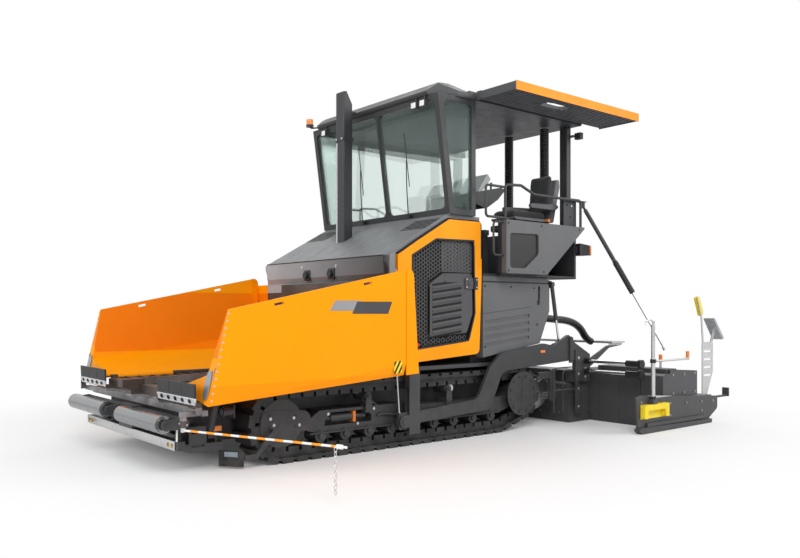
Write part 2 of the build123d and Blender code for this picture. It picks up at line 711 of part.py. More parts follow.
def console():
    """Operator's console on its cross rail."""
    desk = rounded_profile([(-560, 2640, 20), (-560, 2740, 20), (-1050, 2850, 20), (-1130, 2830, 20),
                            (-1000, 2700, 60), (-800, 2580, 60)], 400, 900)
    neck = block(-640, -560, 560, 740, 2330, 2700)
    screen = rounded_profile([(-745, 2790, 10), (-790, 2760, 10), (-960, 2950, 10), (-905, 3010, 10)], 480,
                             820)
    foot = block(-700, -500, 500, 800, 2300.5, 2332)
    lever = bar((-1000, 780, 2820), (-1010, 780, 2920), 12)
    return fused([desk, neck, screen, foot, lever])


def screen_plane():
    """Plane of the raked front screen, its origin at mid height and X across the machine."""
    foot, head = Vector(cowl_x, 0, cowl_top), Vector(roof_front - 40, 0, roof_low)
    up = (head - foot).normalized()
    return Plane(origin=(foot + head) * 0.5, x_dir=(0, 1, 0),
                 z_dir=Vector(0, 1, 0).cross(up)), (head - foot).length


def screen_windows(shrink):
    """The three rounded lights of the front screen."""
    plane, height = screen_plane()
    half = machine_half - 70
    lights = []
    for y0, y1 in ((-half, -690), (-650, 110), (150, half)):
        light = RectangleRounded(y1 - y0 - 2 * shrink, height - 130 - 2 * shrink, 60 - shrink)
        lights.append(Pos((y0 + y1) / 2, 0) * light)
    return plane, lights


def side_light(shrink):
    """Corners of a rear side light beside the front screen."""
    lean = (roof_front - 40 - cowl_x) / (roof_low - cowl_top)
    z0, z1 = cowl_top + 60 + shrink, roof_low - 60 - shrink
    x0, x1 = -265 + shrink, cowl_x - 75 - shrink
    return [(x0, z0, 30), (x1 + (z0 - cowl_top) * lean, z0, 30), (x1 + (z1 - cowl_top) * lean, z1, 40),
            (x0, z1, 40)]


def windscreen_frame():
    """Raked frame of the front screen with its mullions, header and side frames."""
    plane, lights = screen_windows(0)
    height = screen_plane()[1]
    half = machine_half - 5
    sheet = Rectangle(2 * half, height)
    for light in lights:
        sheet -= light
    front = plane * extrude(sheet, amount=-52)
    keep = block(cowl_x - 200, roof_front + 100, -half, half, cowl_top, roof_low)
    front = front & keep
    outline = [(-330, cowl_top, 0), (cowl_x - 40, cowl_top, 0), (roof_front - 80, roof_low, 0),
               (-330, roof_low, 0)]
    cheek_frame = rounded_profile(outline, half - 50, half)
    cheek_frame -= rounded_profile(side_light(0), half - 60, half + 10)
    return fused([front] + both_sides([cheek_frame]))


def windscreen_glass():
    """Panes between the uprights, beside them and in the deck's side boxes."""
    plane, lights = screen_windows(gap)
    panes = [plane * (Pos(0, 0, -26) * extrude(light, amount=6)) for light in lights]
    half = machine_half - 5
    pane = rounded_profile(side_light(gap), half - 28, half - 22)
    return panes + both_sides([pane])


def roof():
    """Main canopy with its faceted front."""
    slab_end = canopy_front + 100
    slab = block(roof_rear, slab_end, -roof_half, roof_half, roof_low, roof_top)
    front = side_profile([(slab_end, roof_low), (roof_front - 20, roof_low), (roof_front, roof_low + 40),
                          (120, 3850), (-60, 3880), (slab_end, roof_top)], -roof_half, roof_half)
    side_cut = cross_profile([(roof_half - 210, 3900), (roof_half + 5, 3900), (roof_half + 5, 3760)],
                             slab_end, 400)
    corner = plan_profile([(roof_front + 10, roof_half - 170), (roof_front + 10, roof_half + 10),
                           (-60, roof_half + 10)],
                          roof_low - 10, 3900)
    under = block(-200, 150, -900, 900, roof_low - 1, roof_low + 22)
    front = front - side_cut - mirrored(side_cut) - corner - mirrored(corner) - under
    y, z = canopy_hinge
    x0, x1 = canopy_knuckle
    hinge = [bar((x0 - 30, y, z), (x1 + 30, y, z), 6)]
    for x in (x0 - 30, x1 + gap):
        hinge.append(block(x, x + 30 - gap, roof_half - 40, y + 12, roof_top - 20, z + 12))
    return fused([slab, front] + both_sides(hinge))


def work_lamps():
    """Lamps under the canopy's front edge and outside its rear posts."""
    rear, front = roof_front - 34, roof_front + 16
    lamps = []
    for y in (-877, 859, 1000):
        body = rounded_profile([(rear, roof_low - 125, 10), (front, roof_low - 125, 10),
                                (front, roof_low - 50, 10), (rear, roof_low - 50, 10)], y - 45, y + 45)
        lamps.append(body + block(rear + 1, rear + 13, y - 8, y + 8, roof_low - 60, roof_low))
    rear = block(-2300, -2240, 1060, 1150, 3560, 3640) + block(-2245, roof_rear, 1000, 1080, 3590, 3610)
    return lamps + both_sides([rear])


def roof_post():
    """One rear post with its foot on the platform's rear wall."""
    post = block(roof_rear, roof_rear + 80, 930, 1040, panel_top, roof_low)
    foot = block(roof_rear, platform_rear + 30, 930, 1040, 2250, panel_top + 23)
    return post + foot


def canopy_wing():
    """The left side wing of the canopy: ribbed sheet, fascia, ends and hinge."""
    inner = roof_half + 12
    low = roof_low + 20
    sheet = block(canopy_rear, canopy_front, inner, canopy_out, low, low + 40)
    fascia = block(canopy_rear, canopy_front, canopy_out, canopy_out + 12, roof_low, roof_low + 95)
    ends = [block(x, x + 12, inner, canopy_out, roof_low + 5, roof_low + 90)
            for x in (canopy_rear, canopy_front - 12)]
    pitch = (canopy_out - inner - 60) / rib_count
    ribs = []
    for i in range(rib_count):
        y = inner + 40 + pitch * i
        ribs.append(block(canopy_rear + 12, canopy_front - 12, y, y + pitch * 0.4, low - 8, low + 1))
    y, z = canopy_hinge
    x0, x1 = canopy_knuckle
    knuckle = bar((x0, y, z), (x1, y, z), 12) + block(x0, x1, inner, y + 12, low, z)
    knuckle -= bar((x0 - 5, y, z), (x1 + 5, y, z), 6 + play / 2)
    hole = Pos(-1250, inner + 340, roof_low) * extrude(SlotOverall(420, 170), amount=100)
    return fused([sheet, fascia] + ribs + ends + [knuckle]) - hole


def stack():
    """Exhaust duct with its scooped open top, clamp and stay."""
    rear, front, y0, y1 = 365, 500, -310, -150
    outer = side_profile([(rear, 2150), (front, 2150), (front, 3950), (455, 3960), (rear, 3800)], y0, y1)
    outer = fillet(outer.edges().filter_by(Axis.Z), 18)
    inner = block(rear + 13, front - 12, y0 + 12, y1 - 12, 3300, 4000)
    fall = (cowl_top - nose_top) / (bay_front + 40 - cowl_x)
    skirt = side_profile([(300, 2000), (600, 2000), (600, cowl_top - (600 - cowl_x) * fall + 0.5),
                          (300, cowl_top - (300 - cowl_x) * fall + 0.5)], -400, 0)
    clamp = block(rear - 7, front + 7, y0 - 7, y1 + 7, 3380, 3420)
    stay = block(roof_front + gap, rear + 5, y0 + 60, y0 + 100, roof_low + 22, roof_low + 52)
    return fused([outer, clamp, stay]) - inner - skirt


def handrail():
    """The left platform rail, with its rear loop."""
    y = deck_half - 50
    z = panel_top
    top = bent_tube([(-640, y, z), (-640, y, z + 393), (-900, y, z + 408), (-1125, y, z + 327),
                     (-1600, y, z + 325), (-1984, y, z + 331), (-1984, y, z)], 45, rail_tube)
    hoop = bent_tube([(-640, y, z + 19), (-330, y, z + 19), (-330, y, z + 363), (-640, y, z + 363)], 40,
                     rail_tube - 2)
    grip = bent_tube([(-605, y, z - 30), (-450, y, z - 30), (-450, y, 2000), (-605, y, 2000)], 40, 12)
    return Compound(children=[fused([top, hoop]), grip])


def hose(x, y):
    """An extraction duct from the deck to the canopy."""
    return upright(x, y, deck_floor, roof_low, 56)


def arm():
    """The left tow arm with its hanger, rib and the lift cylinder's lower pin."""
    outline = [
        (822, 183, 20), (560, 183, 10), (533, 235, 10), (-494, 289, 160), (-699, 701, 140), (-1865, 770, 0),
        (-2294, 786, 0), (-2294, 836, 10), (-1990, 990, 30), (-1871, 1090, 20), (-1600, 960, 60),
               (-1414, 994, 30),
        (-681, 910, 200), (-494, 762, 200), (-296, 418, 120), (508, 358, 0), (546, 354, 0), (822, 354, 20)]
    body = rounded_profile(outline, arm_in, arm_out)
    hanger = block(-2294, -1990, arm_in, arm_out, 500, 836)
    strip = block(-2110, -1990, arm_out - 1, arm_out + 12, 120, 900)
    rib = rounded_profile([(-1930, 745, 0), (-1873, 745, 0), (-1873, 1082, 20), (-1930, 1050, 20)],
                          arm_out - 1, arm_out + 24)
    pin = across(lift_low[0], lift_low[1], lift_y - 25, arm_in + 5, eye_pin)
    eye = across(tow_x, tow_z, arm_in - 1, arm_out + 1, arm_pin + play / 2)
    hoops = []
    for x, z in ((-1602, 690), (-1772, 655)):
        corners = [(x, arm_out - 12, 150), (x, arm_out - 12, z), (-2010, arm_out - 12, z)]
        hoops.append(bent_tube(corners, 50, 8))
    hoops.append(bar((-1602, arm_out - 12, 420), (-2010, arm_out - 12, 420), 8))
    return fused([body, hanger, strip, rib, pin] + hoops) - eye


def screed_main():
    """Main screed: front box, sole, extension guides, walkway and its arms."""
    box = rounded_profile([(screed_rear, 8, 0), (screed_front, 8, 0), (screed_front, 470, 30),
                           (screed_front - 60, 500, 20), (screed_rear, 500, 0)], -screed_half, screed_half)
    seams = []
    for y in (-900, -600, -300, 0, 300, 600, 900):
        seams.append(block(screed_front - 6, screed_front + 1, y - 4, y + 4, 60, 440))
    hatch = rounded_profile([(screed_front - 80, 498, 0), (screed_front - 110, 640, 30),
                             (screed_rear + 20, 640, 30),
                             (screed_rear + 20, 498, 0)], 60 - screed_half, screed_half - 60)
    parts = [box, hatch, block(screed_rear, screed_front, -screed_half, screed_half, 0, 8)]
    sides = [block(-2300, -1985, screed_half - 80, arm_in, 500, 640)]
    for z in (110, 430):
        sides.append(block(extension_front + gap, screed_rear, 0, screed_half, z, z + 40))
    for y in (300, screed_half - 20):
        sides.append(side_profile([(screed_rear + 100, 498), (screed_rear + 100, 700), (screed_rear, 760),
                                   (-2800, 960),
                                   (-3060, 960), (-3060, 930), (-2780, 900), (screed_rear - 95, 705),
                                   (screed_rear, 655), (screed_rear, 498)], y, y + 20))
    parts += both_sides(sides)
    parts.append(block(-3080, -2800, -screed_half - 30, screed_half + 30, 955, 980))
    return fused(parts) - fused(seams)


def extension():
    """The left sliding extension: box with ribbed front wall, sole and end cover."""
    box = rounded_profile([(extension_rear, 0, 0), (extension_front, 0, 0), (extension_front, 615, 15),
                           (extension_front - 60, 640, 15), (extension_rear + 90, 640, 30),
                           (extension_rear, 540, 30)],
                          extension_in, extension_out)
    seams = []
    for y in (extension_out - 900, extension_out - 600, extension_out - 300):
        seams.append(block(extension_front - 6, extension_front + 1, y - 4, y + 4, 60, 600))
    parts = [
        box - fused(seams),
        block(extension_rear - 500, extension_rear, extension_in + 60, extension_out, 290, 330),
        side_profile([(extension_rear, 60), (extension_rear - 420, 290), (extension_rear, 290)],
                     extension_in + 160, extension_in + 172),
        side_profile([(extension_rear, 60), (extension_rear - 420, 290), (extension_rear, 290)],
                     extension_out - 60, extension_out - 48),
        rounded_profile([(-3120, 350, 8), (-2520, 350, 8), (-2520, 690, 20), (-3120, 650, 20)],
                        extension_out - 12, extension_out),
        block(-2700, -2480, extension_in + 260, extension_out - 30, 630, 690),
    ]
    return fused(parts)


def screed_controls():
    """The left operator's stand on the extension: slotted plate, panel and handset bracket."""
    y = extension_out - 60
    stand = rounded_profile([(-3330, 330, 0), (-3450, 330, 0), (-3590, 620, 30), (-3590, 990, 20),
                             (-3330, 990, 20)],
                            y, y + 10)
    for i in range(4):
        z = 560 + 100 * i
        stand -= rounded_profile([(-3370, z, 11), (-3550, z, 11), (-3550, z + 24, 11), (-3370, z + 24, 11)],
                                 y - 5, y + 15)
    panel = rounded_profile([(-3531, 1285, 10), (-3565, 1290, 10), (-3790, 1035, 10), (-3754, 1010, 10)],
                            y - 90, y + 50)
    neck = side_profile([(-3520, 980), (-3580, 980), (-3650, 1165), (-3620, 1185)], y, y + 10)
    hook = side_profile([(-3340, 980), (-3370, 980), (-3330, 1330), (-3224, 1560), (-3205, 1550),
                         (-3300, 1320)],
                        y, y + 10)
    handset = Pos(-3300, y - 22, 1440) * Rot(0, 25, 0) * Box(70, 44, 250)
    handset = fillet(handset.edges().filter_by(Axis.Y), 20)
    return fused([stand, panel, neck, hook, handset])


def end_gate():
    """The left end plate with its ski, clamp, sensor mast and arm."""
    y0, y1 = end_plate_y, end_plate_out
    plate_body = rounded_profile([(-1802, 40, 0), (-1766, 401, 25), (-1878, 429, 30), (-3531, 314, 20),
                                  (-3531, 161, 60), (-3340, 60, 20), (-3330, 40, 0)], y0, y1)
    ski = rounded_profile([(-1800, 68, 10), (-1768, 40, 10), (-1830, 0, 20), (-3330, 0, 20),
                           (-3330, 50, 10)],
                          y0 - 10, y1 + 40)
    rail = block(-3200, -1950, y1 - 1, y1 + 25, 66, 110)
    mast = bar((mast_x, y1 + 30, 330), (mast_x, y1 + 30, 840), 24)
    mast += bar((mast_x, y1 + 30, 835), (mast_x, y1 + 30, 1225), 22)
    foot = block(mast_x - 40, mast_x + 40, y1 - 1, y1 + 60, 322, 380)
    clamp = rounded_profile([(-2344, 169, 10), (-2344, 323, 20), (-1853, 323, 20), (-1853, 169, 10),
                             (-1920, 169, 10),
                             (-1920, 260, 20), (-2277, 260, 20), (-2277, 169, 10)], y1 - 1, y1 + 58)
    reach = bar((mast_x, y1 + 30, 810), (-2780, y1 + 30, 810), 13)
    bracket = fused([
        bar((-2780, y1 + 30, 797), (-2780, y1 + 30, 823), 22),
        block(-3790, -3500, y0, y1, 290, 314),
        block(-3790, -3770, y0 - 40, y1 + 20, 290, 400),
    ])
    shoes = [block(x, x + 60, extension_out + gap, y0 + 1, 130, 300) for x in (-2480, -2900)]
    return fused([plate_body, ski, rail, mast, foot, clamp, reach, bracket] + shoes)


def auger():
    """The left auger: shaft and flight."""
    start, end = 125 + gap, 1130 - gap
    shaft = across(auger_x, auger_z, start, end, 42)
    blade = Pos(30, 0) * Rectangle(auger_radius - 30, 14, align=(Align.MIN, Align.CENTER))
    turns = 3
    pitch = (end - start - 100) / turns
    flight = Solid.extrude_linear_with_rotation(
        blade.face(), center=(0, 0, 0), normal=(0, 0, pitch * turns), angle=360 * turns)
    flight = Pos(auger_x, start + 40, auger_z) * (Rot(-90, 0, 0) * flight)
    return fused([shaft, flight])


def auger_support():
    """Centre gearbox and end bearings on arms from the chassis."""
    end = rail_rear
    case = rounded_profile([(-1760, 250, 40), (-1620, 250, 40), (-1620, 560, 20), (-1760, 560, 20)], -125,
                           125)
    parts = [case, block(-1760, end, -90, 90, 460, 540),
             block(end - 30, end, -rail_out, rail_out, 300, 600)]
    bearing = belted_plate([(auger_x, auger_z, 60), (auger_x, 620, 50)], 1130, 1160)
    sides = [bearing, block(-1740, end - 30, 1130, 1160, 560, 640),
             block(end - 30, end, rail_out, 1160, 560, 600)]
    return fused(parts + both_sides(sides))


def push_beam():
    """Swivelling beam that carries both push rollers."""
    web = fused([
        block(3035, 3100, -1130, 1130, 215, 290),
        block(3035, 3120, -170, 170, 290, 505),
        block(3028, 3040, -60, 60, 372, 428),
        block(3040, 3110, -1190, 1190, 410, 490),
    ])
    pivot = bar((push_pivot, 0, 372), (push_pivot, 0, 428), 34)
    pivot -= bar((push_pivot, 0, 370), (push_pivot, 0, 430), 20 + play / 2)
    ends = []
    for y in (-1190, -160, 130, 1160):
        ends.append(belted_plate([(roller_x, roller_z, 38), (3075, 450, 50)], y, y + 30))
    return fused([web, pivot] + ends)


def push_roller():
    """The left push roller with its shaft."""
    barrel = across(roller_x, roller_z, 190, 1130, roller_radius)
    necks = across(roller_x, roller_z, 168, 1152, roller_radius - 14)
    return fused([across(roller_x, roller_z, 160 + gap, 1160 - gap, 24), necks, barrel])


def guide_rod():
    """Steering guide with its hanging chain."""
    x, y, z = hopper_front + 198, machine_half + 163, 423
    end = (2604, 2839, z)
    chain = block(2636, 2648, 2750, 2762, 50, z - 8)
    hub = upright(x, y, z - 15, z + 20, 20) - upright(x, y, z - 23, z + 27, 7 + play / 2)
    rod = bar((x - 6, y + 16, z), end, 12)
    return fused([rod, chain, hub])


def ram(high, low, barrel_length, radius, rod_radius, start):
    """Barrel and rod of a cylinder from its fixed pin to its moving pin, drawn along local X."""
    length = math.dist(high, low)
    eye = radius + 6
    lying = Rot(90, 0, 0)
    barrel = bar((0, 0, 0), (barrel_length, 0, 0), radius) + lying * Cylinder(eye, 2 * radius)
    barrel += bar((barrel_length - 40, 0, 0), (barrel_length, 0, 0), radius + 5)
    barrel -= lying * Cylinder(eye_pin + play / 2, 4 * radius)
    barrel -= bar((eye + 10, 0, 0), (barrel_length + 5, 0, 0), rod_radius + play / 2)
    far = eye_pin + eye_room + 12
    rod = bar((start, 0, 0), (length - far + 4, 0, 0), rod_radius)
    rod += Pos(length, 0, 0) * lying * Cylinder(far, 36)
    rod -= Pos(length, 0, 0) * lying * Cylinder(eye_pin + eye_room, 80)
    return barrel, rod


def wing_cylinder():
    """The left wing's cylinder, in the plane across the machine."""
    angle = math.degrees(math.atan2(ram_high[1] - ram_low[1], ram_high[0] - ram_low[0]))
    place = Pos(ram_x, *ram_low) * Rot(angle, 0, 0) * Rot(0, 0, 90)
    return [place * piece for piece in ram(ram_low, ram_high, ram_barrel, ram_radius, ram_rod,
                                           ram_radius + 53)]


def lift_cylinder():
    """The left screed lift cylinder, in the plane along the machine."""
    angle = math.degrees(math.atan2(lift_low[1] - lift_high[1], lift_low[0] - lift_high[0]))
    place = Pos(lift_high[0], lift_y, lift_high[1]) * Rot(0, -angle, 0)
    return [place * piece for piece in ram(lift_high, lift_low, lift_barrel, lift_radius, lift_rod,
                                           lift_barrel - 32)]


def stay():
    """The left telescopic stay from the deck down to the screed: tube and rod."""
    top, along, length, level = stay_line()
    overlap = 60.0
    wide = stay_tube - 430
    tube = bar(top + along * 14, top + along * 75, 15) + bar(top + along * 70, top + along * stay_tube, 25)
    tube += bar(top + along * wide, top + along * (stay_tube - 4), 32)
    tube += bar(top - level * 14, top + level * 14, 24)
    tube -= bar(top - level * 20, top + level * 20, 9 + play / 2)
    tube -= bar(top + along * (wide - 120), top + along * (stay_tube + 5), 15 + play / 2)
    rod = bar(top + along * (stay_tube - overlap), top + along * (length - 20), 15)
    rod += bar(top + along * (length - 45), top + along * length, 24)
    return tube, rod


nodes = {}
sided = {
    "track": track, "hopper_wing": wing, "apron": apron, "engine_door": door, "screed_extension": extension,
    "screed_controls": screed_controls, "end_gate": end_gate, "auger": auger, "push_roller": push_roller,
    "canopy_wing": canopy_wing, "seat_shell": seat,
}
for name, make in sided.items():
    piece = make()
    nodes[name + "_left"] = piece
    nodes[name + "_right"] = mirrored(piece)
for name, make in (("wing_cylinder", wing_cylinder), ("lift_cylinder", lift_cylinder)):
    for part, piece in zip(("barrel", "rod"), make()):
        nodes[f"{name}_{part}_left"] = piece
        nodes[f"{name}_{part}_right"] = mirrored(piece)
nodes["stay_tube_left"], nodes["stay_rod_left"] = stay()

cushions = seat_cushion()
nodes["seat_cushion_left"] = Compound(children=cushions)
nodes["seat_cushion_right"] = Compound(children=[mirrored(c) for c in cushions])

# Like pieces of the machine's own body share a node
shared = {
    "track_frames": track_frame, "hopper_cheeks": cheek, "roof_posts": roof_post, "handrails": handrail,
    "tow_arms": arm, "seat_pedestals": seat_base, "mudflaps": mudflap,
}
for name, make in shared.items():
    piece = make()
    nodes[name] = Compound(children=[piece, mirrored(piece)])

single = {
    "chassis": chassis, "hood": hood, "service_housing": side_body, "hopper_floor": hopper_floor,
    "conveyor_slats": slats, "platform": platform, "console": console, "windscreen_frame": windscreen_frame,
    "roof": roof, "exhaust_stack": stack, "screed_main": screed_main, "auger_supports": auger_support,
    "push_beam": push_beam, "steering_guide": guide_rod,
}
for name, make in single.items():
    nodes[name] = make()
nodes["engine_block"] = block(-300, 700, -450, 450, deck_high, 1850)
nodes["windscreen_glass"] = Compound(children=windscreen_glass())
nodes["extraction_hoses"] = Compound(children=[hose(-1903, 850), hose(-1903, 250)])
nodes["work_lamps"] = Compound(children=work_lamps())

os.makedirs("parts", exist_ok=True)
for name, shape in nodes.items():
    export_step(shape, f"parts/{name}.step")
print(len(nodes), "nodes")
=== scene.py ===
import bpy
import json
import math
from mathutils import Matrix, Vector


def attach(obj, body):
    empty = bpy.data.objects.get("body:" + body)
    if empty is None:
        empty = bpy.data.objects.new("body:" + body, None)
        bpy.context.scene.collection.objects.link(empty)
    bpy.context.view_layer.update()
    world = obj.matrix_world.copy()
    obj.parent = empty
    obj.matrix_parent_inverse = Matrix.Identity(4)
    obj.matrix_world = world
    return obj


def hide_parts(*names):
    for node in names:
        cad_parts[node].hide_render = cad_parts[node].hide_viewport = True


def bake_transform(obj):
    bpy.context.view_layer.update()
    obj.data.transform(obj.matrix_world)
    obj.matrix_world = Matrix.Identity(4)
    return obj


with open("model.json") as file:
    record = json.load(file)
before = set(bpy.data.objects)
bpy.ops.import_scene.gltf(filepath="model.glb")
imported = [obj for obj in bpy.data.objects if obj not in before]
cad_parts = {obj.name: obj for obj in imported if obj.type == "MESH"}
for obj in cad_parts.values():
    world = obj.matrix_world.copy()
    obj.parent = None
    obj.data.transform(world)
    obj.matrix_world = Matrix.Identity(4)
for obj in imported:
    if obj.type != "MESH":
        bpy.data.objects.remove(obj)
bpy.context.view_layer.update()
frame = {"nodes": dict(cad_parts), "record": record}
nodes = frame["nodes"]
scene = bpy.context.scene
print("stage: frame loaded,", len(nodes), "nodes")


# small helpers for materials
def startMaterial(name):
    mat = bpy.data.materials.new(name)
    mat.use_nodes = True
    tree = mat.node_tree
    return mat, tree, tree.nodes["Principled BSDF"]


# sets a node's sockets to constants or named tones, or links them where the value is a socket
def fillNode(tree, node, sockets):
    for name, value in sockets.items():
        socket = node.inputs[name]
        value = tone[value] if isinstance(value, str) else value
        if isinstance(value, bpy.types.NodeSocket):
            tree.links.new(value, socket)
        elif isinstance(value, tuple) and len(socket.default_value) == 4:
            socket.default_value = (*value, 1)
        else:
            socket.default_value = value
    return node


def nodeOn(tree, kind, sockets):
    return fillNode(tree, tree.nodes.new('ShaderNode' + kind), sockets)


def objectCoords(tree):
    coords = tree.nodes.new('ShaderNodeTexCoord')
    return nodeOn(tree, 'Mapping', {'Vector': coords.outputs['Object']}).outputs['Vector']


def noiseOn(tree, vector, scale, detail=4.0, rough=0.55):
    noise = nodeOn(tree, 'TexNoise', {'Scale': scale, 'Detail': detail, 'Roughness': rough, 'Vector': vector})
    return noise.outputs['Fac']


def mixOn(tree, factor, first, second):
    mix = tree.nodes.new('ShaderNodeMix')
    mix.data_type = 'RGBA'
    return fillNode(tree, mix, {'Factor': factor, 6: first, 7: second}).outputs[2]


def rangeOn(tree, value, low, high, outLow, outHigh):
    sockets = {'From Min': low, 'From Max': high, 'To Min': outLow, 'To Max': outHigh, 'Value': value}
    return nodeOn(tree, 'MapRange', sockets).outputs['Result']


def mathOn(tree, kind, *values):
    node = nodeOn(tree, 'Math', dict(enumerate(values)))
    node.operation = kind
    return node.outputs['Value']


def times(tree, first, second):
    return mathOn(tree, 'MULTIPLY', first, second)


def outsideOf(tree, mask):
    return mathOn(tree, 'SUBTRACT', 1.0, mask)


def bumpOn(tree, bsdf, height, strength, distance):
    bump = nodeOn(tree, 'Bump', {'Strength': strength, 'Distance': distance, 'Height': height})
    fillNode(tree, bsdf, {'Normal': bump.outputs['Normal']})


# x, the distance from the centre plane and Z of a point, for masks
def placeOn(tree):
    coords = tree.nodes.new('ShaderNodeTexCoord')
    split = tree.nodes.new('ShaderNodeSeparateXYZ')
    tree.links.new(coords.outputs['Object'], split.inputs['Vector'])
    out = {"x": split.outputs['X'], "y": split.outputs['Y'], "z": split.outputs['Z']}
    out["side"] = mathOn(tree, 'ABSOLUTE', split.outputs['Y'])
    return out


# 1 inside the limits given for x, y, side or z, else 0
def insideOn(tree, place, limits):
    mask = None
    for axis, (low, high) in limits.items():
        near = mathOn(tree, 'COMPARE', place[axis], (low + high) / 2, (high - low) / 2)
        mask = near if mask is None else times(tree, mask, near)
    return mask


# each side of a convex outline as its inward normal and offset
def sidesOf(corners):
    middle = [sum(c[axis] for c in corners) / len(corners) for axis in (0, 1)]
    for (x0, z0), (x1, z1) in zip(corners, corners[1:] + corners[:1]):
        long = math.hypot(x1 - x0, z1 - z0)
        nx, nz = (z1 - z0) / long, -(x1 - x0) / long
        if (middle[0] - x0) * nx + (middle[1] - z0) * nz < 0:
            nx, nz = -nx, -nz
        yield nx, nz, -(x0 * nx + z0 * nz)


# 1 inside a convex outline of X and Z corners, grown by a distance
def outlineOn(tree, place, corners, grow=0.0):
    mask = None
    for nx, nz, offset in sidesOf(corners):
        value = mathOn(tree, 'MULTIPLY_ADD', place["x"], nx, offset + grow)
        value = mathOn(tree, 'MULTIPLY_ADD', place["z"], nz, value)
        mask = value if mask is None else mathOn(tree, 'MINIMUM', mask, value)
    return mathOn(tree, 'GREATER_THAN', mask, 0.0)


# paint, plastic or metal with wear, dust towards the ground, and patches of other finishes or of painted shade and
# highlight
def finish(name, colour, rough=0.42, metal=0.0, mottle=0.06, dust=(0.13, 0.125, 0.115), dusty=0.0,
        dustTop=1.0, grain=(70.0, 0.10, 0.0015), patches=(), coat=0.0, gloss=0.4):
    mat, tree, bsdf = startMaterial(name)
    vector = objectCoords(tree)
    place = placeOn(tree)
    wide = noiseOn(tree, vector, 2.3, 6.0)
    paint, shine, plated = colour, rough, metal
    for patch in patches:
        mask = patch["mask"](tree, place)
        rest = outsideOf(tree, mask)
        paint = mixOn(tree, mask, paint, patch["colour"])
        shine = mathOn(tree, 'ADD', times(tree, rest, shine), times(tree, mask, patch.get("rough", rough)))
        plated = mathOn(tree, 'ADD', times(tree, rest, plated), times(tree, mask, patch.get("metal", metal)))
    shade = rangeOn(tree, wide, 0.35, 0.65, 1 - mottle, 1 + mottle)
    scaled = tree.nodes.new('ShaderNodeVectorMath')
    scaled.operation = 'SCALE'
    fillNode(tree, scaled, {0: paint, 'Scale': shade})
    grime = noiseOn(tree, vector, 9.0, 8.0, 0.65)
    low = rangeOn(tree, place["z"], 0.0, dustTop, dusty, 0.02)
    mask = times(tree, rangeOn(tree, grime, 0.42, 0.68, 0.0, 1.6), low)
    spread = rangeOn(tree, grime, 0.3, 0.7, -0.05, 0.10)
    fillNode(tree, bsdf, {'Base Color': mixOn(tree, mask, scaled.outputs['Vector'], dust), 'Metallic': plated,
            'Roughness': mathOn(tree, 'ADD', spread, shine), 'Specular IOR Level': gloss, 'Coat Weight': coat,
            'Coat Roughness': 0.15})
    scale, strength, distance = grain
    bumpOn(tree, bsdf, noiseOn(tree, vector, scale, 3.0), strength, distance)
    return mat


def patchIn(colour, rough=None, metal=None, **limits):
    given = {"rough": rough, "metal": metal}
    return {"mask": lambda tree, place: insideOn(tree, place, limits), "colour": colour,
            **{key: value for key, value in given.items() if value is not None}}


def patchOutline(corners, colour, grow=0.0, **more):
    return {"mask": lambda tree, place: outlineOn(tree, place, corners, grow), "colour": colour, **more}


# 1 and 0 by turns along the line from start to end
def stripesOn(start, end, step):
    line = Vector(end) - Vector(start)
    way = line.normalized()

    def mask(tree, place):
        along = mathOn(tree, 'MULTIPLY_ADD', place["x"], way.x / step, -Vector(start).dot(way) / step)
        along = mathOn(tree, 'MULTIPLY_ADD', place["y"], way.y / step, along)
        along = mathOn(tree, 'MULTIPLY_ADD', place["z"], way.z / step, along)
        return mathOn(tree, 'GREATER_THAN', mathOn(tree, 'FRACT', along), 0.5)
    return mask


tone = {
    # paintedShadeOrange is the wing orange darkened with painted shade, for the wings' inner faces
    "orange": (1.0, 0.345, 0.0), "paintedShadeOrange": (0.95, 0.215, 0.0), "grey": (0.075, 0.077, 0.082),
    "midGrey": (0.115, 0.117, 0.122), "lightGrey": (0.21, 0.215, 0.22), "black": (0.012, 0.012, 0.013),
    "dark": (0.03, 0.031, 0.034), "silver": (0.6, 0.6, 0.6), "yellow": (0.95, 0.72, 0.02), "white": (0.85, 0.85, 0.84),
    "steel": (0.36, 0.355, 0.35), "red": (0.6, 0.02, 0.015), "blueGrey": (0.3, 0.35, 0.4), "amber": (0.85, 0.22, 0.01),
}
doorHole = [(0.6, 0.975), (0.6, 1.96), (0.262, 2.146), (-0.301, 2.158), (-0.319, 1.355), (-0.221, 1.053)]
doorRim = [(0.785, 0.835), (0.785, 1.972), (0.519, 2.129), (0.08, 2.376), (-0.418, 2.381), (-0.418, 0.92),
        (-0.382, 0.909)]
louvrePanel = [(0.155, 1.784), (0.344, 1.669), (0.344, 1.104), (-0.195, 1.142), (-0.285, 1.35), (-0.275, 1.79)]
windowCorners = [(-0.665, 2.25), (-0.665, 1.862), (-0.915, 1.862), (-1.15, 2.033), (-1.15, 2.262)]


louvres = {"lean": math.tan(math.radians(7.2)), "first": 1.636, "middle": 0.097, "pitch": 0.0785, "blade": 0.68,
        "shift": 40.26, "field": {"x": (-0.117, 0.311), "z": (1.09, 1.69), "side": (1.0, 1.25)}}
grille = {"across": 21.0, "up": 26.0, "hole": 0.11,
        "field": {"x": (-0.28, 0.145), "z": (1.81, 2.135), "side": (1.0, 1.18)}}


# painted shadow: the dark gaps under the louvres, on the same lines as the blades
def louvreShadowMask(tree, place):
    start = (louvres["first"] + louvres["middle"] * louvres["lean"]) / louvres["pitch"]
    level = mathOn(tree, 'MULTIPLY_ADD', place["x"], louvres["lean"], place["z"])
    level = mathOn(tree, 'MULTIPLY_ADD', level, 1 / louvres["pitch"], louvres["shift"] - start)
    gap = mathOn(tree, 'GREATER_THAN', mathOn(tree, 'FRACT', level), louvres["blade"])
    return times(tree, gap, insideOn(tree, place, louvres["field"]))


